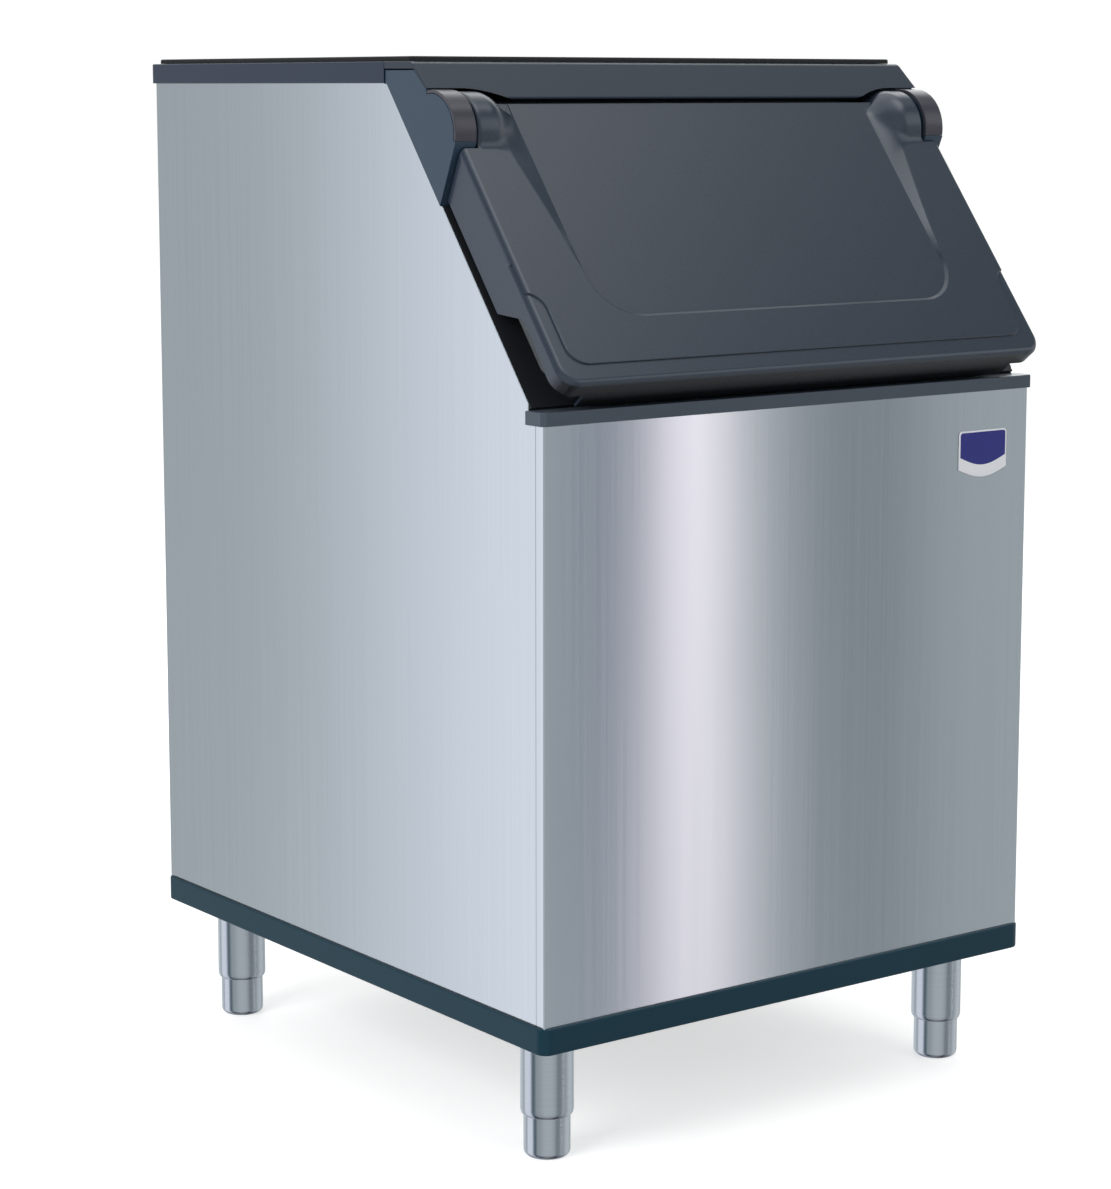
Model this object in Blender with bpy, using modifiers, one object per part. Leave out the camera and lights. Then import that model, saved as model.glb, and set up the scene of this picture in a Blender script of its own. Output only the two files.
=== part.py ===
"""An ice storage bin: an insulated steel box on four levelling legs, with a lift-up door under a hood.

Metres, +Z up, front towards -Y, left is -X. The origin is on the floor, under the middle of the bin.
Sizes are measured from four places: the floor, the middle of the trims' depth, the slope line that the
sides' front edges follow, and the door's hinge axis. On the slope, "down" is the distance along the slope
line below its top end, and "out" is the distance in front of it, square to it.
"""

import math

import bpy
import bmesh

# Clearance between touching pieces, and how far a cutter reaches past what it cuts.
FIT = 0.0003
OVERRUN = 0.030

# Overall sizes, over the dark trims.
TRIM_WIDTH = 0.762
TRIM_DEPTH = 0.864
RIM_HEIGHT = 1.280
TRIM_PROUD = 0.0046

# Steel skins.
SHEET = 0.0010
FRONT_RETURN = 0.015
STEEL_CORNER = 0.0018

# Base tray: a moulded tray with a raised rim outside the steel and a skirt over the leg plates.
BASE_BOTTOM = 0.1515
BASE_HEIGHT = 0.0312
BASE_LAP = 0.010
BASE_WEB = 0.004
BASE_SKIRT = 0.012
BASE_CORNER = 0.014
PAN_SHEET = 0.0015

# Legs and levelling feet.
LEG_IN_X = 0.0624
LEG_IN_Y = 0.0789
LEG_PLATE = 0.100
LEG_PLATE_SHEET = 0.004
SLEEVE_RADIUS = 0.0319
SLEEVE_BOTTOM = 0.0516
SLEEVE_EDGE = 0.0035
FOOT_RADIUS = 0.0280
FOOT_EDGE = 0.0075
FOOT_TOP = 0.112
FOOT_TAIL_RADIUS = 0.0240
FOOT_TAIL = 0.006
BOSS_LENGTH = 0.026

# Sloped front: where the slope line starts and ends.
SLOPE_DEPTH = 0.2763
SLOPE_DROP = 0.3525
SLOPE_END_IN = 0.0337

# Front rail under the door.
RAIL_UNDER_SLOPE = 0.0075
RAIL_HEIGHT = 0.016
RAIL_TOP_SHEET = 0.009
RAIL_DEPTH = 0.033
RAIL_CHAMFER = 0.005

# Top trim, its gasket and the hood.
TOP_HEIGHT = 0.025
TOP_WEB = 0.0147
TOP_LIP = 0.0055
TOP_BAR = 0.035
TOP_SETBACK = 0.002
TOP_CORNER = 0.006
GASKET_HEIGHT = 0.006
GASKET_WIDTH = 0.018
GASKET_INSET = 0.007
GASKET_FRONT_INSET = 0.006
HOOD_FLAT = 0.056
HOOD_DEPTH = 0.0465
HOOD_DROP = 0.0412
HOOD_WALL = 0.0085
HOOD_SKIRT = 0.003
HOOD_NOSE = 0.006
SCALLOP_GAP = 0.004
SCALLOP_WIDER = 0.012

# Tub: the moulded liner, and the foam between it and the steel.
LINER_WALL = 0.003
FOAM_SIDE = 0.0341
FOAM_FRONT = 0.036
FOAM_REAR = 0.036
FOAM_FLOOR = 0.055
CAVITY_CORNER = 0.010

# Frame round the access opening, flush with the slope line.
FRAME_DEPTH = 0.008
FRAME_TOP_END = 0.004
FRAME_PAST_SLOPE = 0.0056
FRAME_TOP_BAR = 0.024
FRAME_BOTTOM_BAR = 0.040
FRAME_CORNER = 0.012

# Hinge axis on the slope, and the pieces round it.
HINGE_DOWN = 0.102
HINGE_OUT = 0.037
KNUCKLE_RADIUS = 0.050
KNUCKLE_WALL = 0.004
KNUCKLE_LOW_DEG = 42.7
KNUCKLE_NIB_DEG = 2.7
CHEEK_PROUD = 0.0031
CHEEK_WIDTH = 0.0295
PIN_RADIUS = 0.006
PIN_CLEARANCE = 0.00008
PIN_IN_CHEEK = 0.026
PIN_IN_EAR = 0.034
BUSH_WALL = 0.004
BUSH_FLANGE = 0.014
EAR_GAP = 0.0035
SWING_GAP = 0.0020

# Door, measured from the hinge axis.
DOOR_IN = 0.009
DOOR_OVERHANG = 0.0191
DOOR_FACE_OUT = 0.029
DOOR_BACK_IN = 0.0284
DOOR_TOP = 0.024
DOOR_WALL = 0.004
DOOR_EDGE = 0.008
DOOR_CORNER = 0.026
SHOULDER_DOWN = 0.043
SHOULDER_SETBACK = 0.0308
SHOULDER_GAP = 0.0025
EAR_RADIUS = 0.048
EAR_WIDTH = 0.0245
EAR_TAPER_WIDTH = 0.040
EAR_EDGE = 0.005
PANEL_DEPTH = 0.003
PANEL_IN = 0.096
PANEL_UP = 0.088
PANEL_CORNER = 0.058
RIM_DEPTH = 0.0025
RIM_START = 0.143
RIM_BEND = 0.113
RIM_SIDE = 0.021
RIM_LOW = 0.025
GRIP_START = 0.134
GRIP_RAMP = 0.034
GRIP_LIP = 0.020
GRIP_LIP_END = 0.028
GRIP_CORNER = 0.012
DOOR_LOW_LIP = 0.049
TRAY_IN = 0.008
TRAY_TOP = 0.050
TRAY_END_GAP = 0.012
TRAY_OUT = 0.004
TRAY_WALL = 0.0035
TRAY_CORNER = 0.020

# Bumpers under the door, drain and badge plate.
BUMPER_WIDTH = 0.030
BUMPER_HEIGHT = 0.014
BUMPER_IN = 0.060
DRAIN_BORE = 0.0105
DRAIN_RADIUS = 0.0165
DRAIN_FLANGE = 0.030
DRAIN_FLANGE_SHEET = 0.0025
DRAIN_TO_REAR = 0.130
DRAIN_BOTTOM = 0.120
DRAIN_HOLE_GAP = 0.001
NUT_RADIUS = 0.026
NUT_HEIGHT = 0.012
BADGE_WIDTH = 0.081
BADGE_HEIGHT = 0.0475
BADGE_BULGE = 0.0105
BADGE_SHEET = 0.0014
BADGE_TO_SIDE = 0.037
BADGE_TO_RAIL = 0.0485
BADGE_CORNER = 0.005

# Facets: steps round a full circle, on an arc and on a rounded edge.
ROUND_STEPS = 32
ARC_STEPS = 7
EDGE_STEPS = 3

# Levels, from the floor up.
BASE_TOP = BASE_BOTTOM + BASE_HEIGHT
PAN_FLOOR = BASE_TOP - BASE_LAP
WEB_BOTTOM = PAN_FLOOR - BASE_WEB
PLATE_TOP = WEB_BOTTOM - FIT
PLATE_BOTTOM = PLATE_TOP - LEG_PLATE_SHEET
SLEEVE_TOP = PLATE_BOTTOM - FIT
STEEL_BOTTOM = PAN_FLOOR + FIT
FOAM_BOTTOM = STEEL_BOTTOM + PAN_SHEET + FIT
TUB_BOTTOM = FOAM_BOTTOM + FOAM_FLOOR
CAVITY_BOTTOM = TUB_BOTTOM + LINER_WALL
TOP_LEVEL = RIM_HEIGHT - GASKET_HEIGHT
TOP_BOTTOM = TOP_LEVEL - TOP_HEIGHT
STEEL_TOP = TOP_LEVEL - TOP_WEB - FIT
HOOD_UNDER = TOP_LEVEL - HOOD_WALL
RAIL_TOP = TOP_BOTTOM - SLOPE_DROP - RAIL_UNDER_SLOPE
RAIL_BOTTOM = RAIL_TOP - RAIL_HEIGHT
PANEL_TOP = RAIL_TOP - RAIL_TOP_SHEET - FIT

# Halves and faces, from the middle of the trims.
TRIM_X = TRIM_WIDTH / 2
TRIM_Y = TRIM_DEPTH / 2
STEEL_X = TRIM_X - TRIM_PROUD
STEEL_Y = TRIM_Y - TRIM_PROUD
INSIDE_X = STEEL_X - SHEET - FIT
INSIDE_Y = STEEL_Y - SHEET - FIT
TUB_X = INSIDE_X - FOAM_SIDE
CAVITY_X = TUB_X - LINER_WALL
TUB_FRONT = -INSIDE_Y + FOAM_FRONT
TUB_REAR = INSIDE_Y - FOAM_REAR
LEG_X = STEEL_X - LEG_IN_X
LEG_Y = STEEL_Y - LEG_IN_Y
CHEEK_X = STEEL_X + CHEEK_PROUD
CHEEK_INNER_X = CHEEK_X - CHEEK_WIDTH
EAR_X = CHEEK_INNER_X - EAR_GAP
DOOR_X = TRIM_X - DOOR_IN
PANEL_X = DOOR_X - PANEL_IN
TRAY_X = CAVITY_X - TRAY_IN

# The slope line, and the top trim's front face, which stands just behind the slope's top end.
SLOPE_TOP_Y = -TRIM_Y + SLOPE_END_IN + SLOPE_DEPTH
SLOPE_TOP_Z = TOP_BOTTOM
SLOPE_LENGTH = math.hypot(SLOPE_DEPTH, SLOPE_DROP)
SLOPE_TILT = math.atan2(SLOPE_DROP, SLOPE_DEPTH)
TOP_FRONT = SLOPE_TOP_Y + TOP_SETBACK
RAIL_REAR = -TRIM_Y + RAIL_DEPTH
FRAME_BOTTOM_END = SLOPE_LENGTH + FRAME_PAST_SLOPE
DOOR_REACH = SLOPE_LENGTH + DOOR_OVERHANG - HINGE_DOWN


def slope_point(down, out):
    """The y and z of a place given along the slope and square to it."""
    y = SLOPE_TOP_Y - down * SLOPE_DEPTH / SLOPE_LENGTH - out * SLOPE_DROP / SLOPE_LENGTH
    z = SLOPE_TOP_Z - down * SLOPE_DROP / SLOPE_LENGTH + out * SLOPE_DEPTH / SLOPE_LENGTH
    return y, z


def slope_y(z, out):
    """The y of the line that runs along the slope at a distance in front of it, at a height."""
    return SLOPE_TOP_Y - (SLOPE_TOP_Z - z) * SLOPE_DEPTH / SLOPE_DROP - out * SLOPE_LENGTH / SLOPE_DROP


def hinge_point(radius, turn):
    """The y and z of a place round the hinge axis. Turn 0 is down the slope, and 90 degrees is outwards."""
    return slope_point(HINGE_DOWN + radius * math.cos(turn), HINGE_OUT + radius * math.sin(turn))


HINGE_Y, HINGE_Z = slope_point(HINGE_DOWN, HINGE_OUT)


def hinge_turn(y, z):
    """The turn round the hinge axis at which a place lies."""
    out = (z - HINGE_Z) * SLOPE_DEPTH - (y - HINGE_Y) * SLOPE_DROP
    down = -(z - HINGE_Z) * SLOPE_DROP - (y - HINGE_Y) * SLOPE_DEPTH
    return math.atan2(out, down)


# The door's lower edge is the frontmost point, so the bin's middle lies in front of the trims' middle.
EDGE_MIDDLE = slope_point(
    HINGE_DOWN + DOOR_REACH - DOOR_EDGE, HINGE_OUT + DOOR_FACE_OUT - DOOR_EDGE
)
DOOR_FRONT = EDGE_MIDDLE[0] - DOOR_EDGE
MIDDLE_SHIFT = -(TRIM_Y + DOOR_FRONT) / 2

# Colours as the materials hold them, with roughness and metallic.
STEEL = ((0.36, 0.39, 0.43), 0.30, 1.0)
GALVANISED = ((0.40, 0.42, 0.44), 0.45, 1.0)
LEG_STEEL = ((0.38, 0.40, 0.42), 0.35, 1.0)
TRIM_DARK = ((0.030, 0.040, 0.052), 0.45, 0.0)
BASE_DARK = ((0.018, 0.045, 0.058), 0.45, 0.0)
DOOR_DARK = ((0.050, 0.058, 0.068), 0.42, 0.0)
KNUCKLE_DARK = ((0.050, 0.046, 0.052), 0.42, 0.0)
BLACK_RUBBER = ((0.012, 0.012, 0.013), 0.80, 0.0)
LINER_GREY = ((0.62, 0.66, 0.68), 0.40, 0.0)
FOAM_CREAM = ((0.75, 0.66, 0.42), 0.90, 0.0)
NYLON = ((0.70, 0.70, 0.66), 0.50, 0.0)
DRAIN_BLACK = ((0.020, 0.020, 0.022), 0.50, 0.0)
BADGE_BLUE = ((0.020, 0.040, 0.350), 0.35, 0.0)


def clear_scene():
    """Empties the scene of objects."""
    for item in list(bpy.data.objects):
        bpy.data.objects.remove(item, do_unlink=True)


clear_scene()
bin_parts = bpy.data.collections.new("ice_storage_bin")
cutters = bpy.data.collections.new("cutters")
bpy.context.scene.collection.children.link(bin_parts)
bpy.context.scene.collection.children.link(cutters)


def frame_empty(name, location, tilt, parent):
    """An empty that carries pieces: the trims' middle, the slope line's top or the hinge axis."""
    empty = bpy.data.objects.new(name, None)
    empty.location = location
    empty.rotation_euler = (tilt, 0, 0)
    empty.parent = parent
    cutters.objects.link(empty)
    return empty


datum = frame_empty("trims_middle", (0, MIDDLE_SHIFT, 0), 0, None)
slope = frame_empty("slope_top", (0, SLOPE_TOP_Y, SLOPE_TOP_Z), SLOPE_TILT, datum)
hinge = frame_empty("hinge_axis", (0, -HINGE_DOWN, HINGE_OUT), 0, slope)


def finish(obj, look):
    """Gives a piece its own material, and puts it in the bin's collection."""
    colour, roughness, metallic = look
    made = bpy.data.materials.new("finish_" + obj.name)
    made.use_nodes = True
    shader = made.node_tree.nodes["Principled BSDF"]
    shader.inputs["Base Color"].default_value = (*colour, 1)
    shader.inputs["Roughness"].default_value = roughness
    shader.inputs["Metallic"].default_value = metallic
    made.diffuse_color = (*colour, 1)
    obj.data.materials.clear()
    obj.data.materials.append(made)
    cutters.objects.unlink(obj)
    bin_parts.objects.link(obj)
    obj.hide_render = False
    obj.display_type = "TEXTURED"
    return obj


def place(name, mesh, parent, location=(0, 0, 0), rotation=(0, 0, 0)):
    """A new object, kept among the cutters until it gets a finish."""
    obj = bpy.data.objects.new(name, mesh)
    obj.parent = parent
    obj.location = location
    obj.rotation_euler = rotation
    obj.hide_render = True
    obj.display_type = "WIRE"
    cutters.objects.link(obj)
    return obj


def box(name, x, y, z, parent=datum):
    """A box between two values along each axis of its carrier."""
    size = [high - low for low, high in (x, y, z)]
    middle = [(high + low) / 2 for low, high in (x, y, z)]
    bm = bmesh.new()
    bmesh.ops.create_cube(bm, size=1)
    bmesh.ops.scale(bm, vec=size, verts=bm.verts)
    mesh = bpy.data.meshes.new(name)
    bm.to_mesh(mesh)
    bm.free()
    return place(name, mesh, parent, middle)


def prism(name, loops, low, high, plane="plan", parent=datum):
    """Flat outlines drawn out from low to high.

    In "plan" they hold x and y, in "side" y and z, and in "front" x and z.
    """
    curve = bpy.data.curves.new(name, "CURVE")
    curve.dimensions = "2D"
    curve.fill_mode = "BOTH"
    curve.extrude = (high - low) / 2
    for loop in loops:
        spline = curve.splines.new("POLY")
        spline.points.add(len(loop) - 1)
        for point, (u, v) in zip(spline.points, loop):
            point.co = (u, v, 0, 1)
        spline.use_cyclic_u = True
    drawn = bpy.data.objects.new(name, curve)
    cutters.objects.link(drawn)
    bpy.context.view_layer.update()
    mesh = bpy.data.meshes.new_from_object(drawn.evaluated_get(bpy.context.evaluated_depsgraph_get()))
    bpy.data.objects.remove(drawn, do_unlink=True)
    bpy.data.curves.remove(curve)
    bm = bmesh.new()
    bm.from_mesh(mesh)
    bmesh.ops.remove_doubles(bm, verts=bm.verts, dist=FIT / 10)
    if len(loops) == 1:
        bmesh.ops.dissolve_limit(bm, angle_limit=math.radians(1), verts=bm.verts, edges=bm.edges)
    bmesh.ops.recalc_face_normals(bm, faces=bm.faces)
    bm.to_mesh(mesh)
    bm.free()
    mesh.name = name
    middle = (low + high) / 2
    if plane == "side":
        return place(name, mesh, parent, (middle, 0, 0), (math.pi / 2, 0, math.pi / 2))
    if plane == "front":
        return place(name, mesh, parent, (0, middle, 0), (math.pi / 2, 0, 0))
    return place(name, mesh, parent, (0, 0, middle))


def turned(name, profile, parent, location, along_x=0):
    """A turned piece from a profile of radius and height, about Z or, with along_x of 1 or -1, about X."""
    mesh = bpy.data.meshes.new(name)
    closed = profile[0][0] > 0
    count = len(profile)
    edges = [(i, (i + 1) % count) for i in range(count if closed else count - 1)]
    mesh.from_pydata([(radius, 0, height) for radius, height in profile], edges, [])
    obj = place(name, mesh, parent, location, (0, along_x * math.pi / 2, 0))
    screw = obj.modifiers.new("turn", "SCREW")
    screw.axis = "Z"
    screw.angle = math.tau
    screw.steps = ROUND_STEPS
    screw.render_steps = ROUND_STEPS
    screw.use_merge_vertices = True
    screw.merge_threshold = FIT / 10
    return obj


def rod(name, radius, x, parent, sides=ROUND_STEPS):
    """A cylinder about the carrier's X axis, between two values of x."""
    bm = bmesh.new()
    bmesh.ops.create_cone(
        bm, cap_ends=True, segments=sides, radius1=radius, radius2=radius, depth=abs(x[1] - x[0])
    )
    mesh = bpy.data.meshes.new(name)
    bm.to_mesh(mesh)
    bm.free()
    return place(name, mesh, parent, ((x[0] + x[1]) / 2, 0, 0), (0, math.pi / 2, 0))


def combine(obj, operation, tools):
    """Adds one Boolean modifier for each tool."""
    for tool in tools:
        made = obj.modifiers.new(operation.lower(), "BOOLEAN")
        made.operation = operation
        made.solver = "EXACT"
        made.object = tool
    return obj


def cut(obj, *tools):
    """Takes the tools' shapes away."""
    return combine(obj, "DIFFERENCE", tools)


def join(obj, *tools):
    """Adds the tools' shapes."""
    return combine(obj, "UNION", tools)


def round_edges(obj, width, steps=EDGE_STEPS):
    """Rounds every edge sharper than the facets of an arc."""
    bevel = obj.modifiers.new("edges", "BEVEL")
    bevel.width = width
    bevel.segments = steps
    bevel.limit_method = "ANGLE"
    bevel.angle_limit = math.radians(50)
    return obj


def rounded(points, radii, steps=ARC_STEPS):
    """A closed outline whose corners are arcs of the radii given, one for each point."""
    outline = []
    count = len(points)
    for i, radius in enumerate(radii):
        before, corner, after = points[i - 1], points[i], points[(i + 1) % count]
        if radius == 0:
            outline.append(corner)
            continue
        u = (before[0] - corner[0], before[1] - corner[1])
        v = (after[0] - corner[0], after[1] - corner[1])
        reach_u, reach_v = math.hypot(*u), math.hypot(*v)
        u = (u[0] / reach_u, u[1] / reach_u)
        v = (v[0] / reach_v, v[1] / reach_v)
        half = math.acos(max(-1, min(1, u[0] * v[0] + u[1] * v[1]))) / 2
        inset = min(radius / math.tan(half), reach_u / 2, reach_v / 2)
        fillet = inset * math.tan(half)
        mid = (u[0] + v[0], u[1] + v[1])
        reach = math.hypot(*mid)
        centre = [corner[k] + mid[k] / reach * fillet / math.sin(half) for k in (0, 1)]
        start = math.atan2(corner[1] + u[1] * inset - centre[1], corner[0] + u[0] * inset - centre[0])
        end = math.atan2(corner[1] + v[1] * inset - centre[1], corner[0] + v[0] * inset - centre[0])
        sweep = (end - start + math.pi) % math.tau - math.pi
        for k in range(steps + 1):
            turn = start + sweep * k / steps
            outline.append((centre[0] + fillet * math.cos(turn), centre[1] + fillet * math.sin(turn)))
    return outline


def rectangle(x, y, radius=0):
    """A rectangle's outline between two values each way, with round corners."""
    corners = [(x[0], y[0]), (x[1], y[0]), (x[1], y[1]), (x[0], y[1])]
    return rounded(corners, [radius] * 4)


SIDES = (("left", -1), ("right", 1))
CORNERS = (
    ("front_left", -1, -1),
    ("front_right", 1, -1),
    ("rear_left", -1, 1),
    ("rear_right", 1, 1),
)


def span(sign, inner, outer):
    """Two values of x on one side of the bin, lowest first."""
    return tuple(sorted((sign * inner, sign * outer)))


def drain_room(name):
    """The hole that the drain fitting passes through."""
    radius = DRAIN_RADIUS + DRAIN_HOLE_GAP
    low = DRAIN_BOTTOM
    high = CAVITY_BOTTOM + OVERRUN
    profile = [(0, high), (radius, high), (radius, low), (0, low)]
    return turned(name, profile, datum, (0, TUB_REAR - DRAIN_TO_REAR, 0))


def make_base():
    """Moulded tray with a rim round the steel and a skirt round the leg plates, and the pan in it."""
    tray = prism(
        "base_trim",
        [rectangle((-TRIM_X, TRIM_X), (-TRIM_Y, TRIM_Y), BASE_CORNER)],
        BASE_BOTTOM,
        BASE_TOP,
    )
    room_x = STEEL_X + FIT
    room_y = STEEL_Y + FIT
    rim = box("base_rim_room", (-room_x, room_x), (-room_y, room_y), (PAN_FLOOR, BASE_TOP + OVERRUN))
    under_x = TRIM_X - BASE_SKIRT
    under_y = TRIM_Y - BASE_SKIRT
    under = box(
        "base_under_room",
        (-under_x, under_x),
        (-under_y, under_y),
        (BASE_BOTTOM - OVERRUN, WEB_BOTTOM),
    )
    finish(cut(tray, rim, under, drain_room("drain_room_base")), BASE_DARK)
    pan = box(
        "base_pan",
        (-INSIDE_X, INSIDE_X),
        (-INSIDE_Y, INSIDE_Y),
        (STEEL_BOTTOM, STEEL_BOTTOM + PAN_SHEET),
    )
    finish(cut(pan, drain_room("drain_room_pan")), GALVANISED)


def make_legs():
    """Each corner has a plate with a boss, a sleeve over the boss and a foot that slides in the sleeve."""
    bore = FOOT_RADIUS + FIT
    for corner, sx, sy in CORNERS:
        at_x, at_y = sx * LEG_X, sy * LEG_Y
        half = LEG_PLATE / 2
        plate = box(
            "leg_plate_" + corner,
            (at_x - half, at_x + half),
            (at_y - half, at_y + half),
            (PLATE_BOTTOM, PLATE_TOP),
        )
        boss = turned(
            "leg_boss_" + corner,
            [
                (0, PLATE_TOP - LEG_PLATE_SHEET / 2),
                (FOOT_RADIUS, PLATE_TOP - LEG_PLATE_SHEET / 2),
                (FOOT_RADIUS, PLATE_BOTTOM - BOSS_LENGTH),
                (0, PLATE_BOTTOM - BOSS_LENGTH),
            ],
            datum,
            (at_x, at_y, 0),
        )
        finish(join(plate, boss), GALVANISED)
        sleeve = turned(
            "leg_sleeve_" + corner,
            [
                (SLEEVE_RADIUS, SLEEVE_TOP),
                (SLEEVE_RADIUS, SLEEVE_BOTTOM + SLEEVE_EDGE),
                (SLEEVE_RADIUS - SLEEVE_EDGE / 3, SLEEVE_BOTTOM + SLEEVE_EDGE / 3),
                (SLEEVE_RADIUS - SLEEVE_EDGE / 2, SLEEVE_BOTTOM),
                (bore, SLEEVE_BOTTOM),
                (bore, SLEEVE_TOP),
            ],
            datum,
            (at_x, at_y, 0),
        )
        finish(sleeve, LEG_STEEL)
        foot_arc = [
            (
                FOOT_RADIUS - FOOT_EDGE + FOOT_EDGE * math.cos(turn),
                FOOT_EDGE - FOOT_EDGE * math.sin(turn),
            )
            for turn in (math.pi / 2 * k / EDGE_STEPS for k in range(EDGE_STEPS + 1))
        ]
        foot = turned(
            "foot_" + corner,
            [
                (0, FOOT_TOP),
                (FOOT_TAIL_RADIUS, FOOT_TOP),
                (FOOT_RADIUS, FOOT_TOP - FOOT_TAIL),
                *foot_arc,
                (0, 0),
            ],
            datum,
            (at_x, at_y, 0),
        )
        finish(foot, LEG_STEEL)


def make_skins():
    """Steel side panels, the front panel with its two returns, and the rear panel."""
    seam = -STEEL_Y + FRONT_RETURN
    shelf_z = PANEL_TOP - FIT
    slope_end = slope_point(SLOPE_LENGTH, 0)
    pocket_front = TOP_FRONT + TOP_LIP + FIT
    outline = [
        (STEEL_Y, STEEL_BOTTOM),
        (seam + FIT, STEEL_BOTTOM),
        (seam + FIT, shelf_z),
        (slope_end[0], shelf_z),
        slope_end,
        (SLOPE_TOP_Y, SLOPE_TOP_Z - FIT),
        (pocket_front, SLOPE_TOP_Z - FIT),
        (pocket_front, STEEL_TOP),
        (STEEL_Y, STEEL_TOP),
    ]
    for side, sign in SIDES:
        x = span(sign, STEEL_X - SHEET, STEEL_X)
        finish(prism(side + "_side_panel", [outline], *x, plane="side"), STEEL)
    inner = STEEL_X - SHEET
    corner = STEEL_CORNER
    panel = rounded(
        [
            (-STEEL_X, seam),
            (-STEEL_X, -STEEL_Y),
            (STEEL_X, -STEEL_Y),
            (STEEL_X, seam),
            (inner, seam),
            (inner, -STEEL_Y + SHEET),
            (-inner, -STEEL_Y + SHEET),
            (-inner, seam),
        ],
        [0, corner, corner, 0, 0, corner - SHEET, corner - SHEET, 0],
        EDGE_STEPS,
    )
    finish(prism("front_panel", [panel], STEEL_BOTTOM, PANEL_TOP), STEEL)
    rear = box(
        "rear_panel",
        (-inner + FIT, inner - FIT),
        (STEEL_Y - SHEET, STEEL_Y),
        (STEEL_BOTTOM, STEEL_TOP),
    )
    finish(rear, GALVANISED)


def swing_room(name):
    """The room that the door's ears turn in, round the hinge axis."""
    x = EAR_X + SWING_GAP / 2
    return rod(name, EAR_RADIUS + SWING_GAP, (-x, x), hinge)


def slope_z(y, out):
    """The height of the line that runs along the slope at a distance in front of it."""
    return SLOPE_TOP_Z - (SLOPE_TOP_Y - y - out * SLOPE_LENGTH / SLOPE_DROP) * SLOPE_DROP / SLOPE_DEPTH


def tub_form(name, inset, top, out):
    """The liner's outer form or, with an inset, its inside, up to a level and a distance off the slope."""
    front = TUB_FRONT + inset
    rear = TUB_REAR - inset
    bottom = TUB_BOTTOM + inset
    outline = [
        (rear, bottom),
        (front, bottom),
        (front, slope_z(front, out)),
        (slope_y(top, out), top),
        (rear, top),
    ]
    return prism(name, [outline], -TUB_X + inset, TUB_X - inset, "side")


def make_tub():
    """Foam between the steel and the liner, and the liner, both open at the top and on the slope."""
    out = -FRAME_DEPTH - FIT
    above = STEEL_TOP + OVERRUN
    foam_outline = [
        (INSIDE_Y, FOAM_BOTTOM),
        (-INSIDE_Y, FOAM_BOTTOM),
        (-INSIDE_Y, PANEL_TOP),
        (RAIL_REAR + FIT, PANEL_TOP),
        (RAIL_REAR + FIT, slope_z(RAIL_REAR + FIT, out)),
        (slope_y(STEEL_TOP, out), STEEL_TOP),
        (INSIDE_Y, STEEL_TOP),
    ]
    foam = prism("insulation", [foam_outline], -INSIDE_X, INSIDE_X, "side")
    liner_room = tub_form("liner_room", -FIT, above, OVERRUN)
    cut(foam, liner_room, swing_room("swing_room_foam"), drain_room("drain_room_foam"))
    finish(foam, FOAM_CREAM)
    liner = tub_form("liner", 0, STEEL_TOP, out)
    cavity = round_edges(tub_form("cavity", LINER_WALL, above, OVERRUN), CAVITY_CORNER)
    cut(liner, cavity, swing_room("swing_room_liner"), drain_room("drain_room_liner"))
    finish(liner, LINER_GREY)


def make_access_frame():
    """Moulded frame round the access opening, flush with the slope line, and the rail below it."""
    outer = rectangle((-INSIDE_X, INSIDE_X), (-FRAME_BOTTOM_END, -FRAME_TOP_END))
    opening = rectangle(
        (-CAVITY_X, CAVITY_X),
        (-FRAME_BOTTOM_END + FRAME_BOTTOM_BAR, -FRAME_TOP_END - FRAME_TOP_BAR),
        FRAME_CORNER,
    )
    frame = prism("access_frame", [outer, opening], -FRAME_DEPTH, 0, parent=slope)
    finish(cut(frame, swing_room("swing_room_frame")), TRIM_DARK)
    corners = [
        (-TRIM_X, RAIL_REAR),
        (-TRIM_X, -TRIM_Y),
        (TRIM_X, -TRIM_Y),
        (TRIM_X, RAIL_REAR),
    ]
    chamfered = rounded(corners, [0, RAIL_CHAMFER, RAIL_CHAMFER, 0], 1)
    rail = prism("front_rail", [chamfered], RAIL_BOTTOM, RAIL_TOP)
    room = box(
        "rail_room",
        (-STEEL_X - FIT, STEEL_X + FIT),
        (-STEEL_Y - FIT, RAIL_REAR + OVERRUN),
        (RAIL_BOTTOM - OVERRUN, RAIL_TOP - RAIL_TOP_SHEET),
    )
    finish(cut(rail, room), TRIM_DARK)


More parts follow.
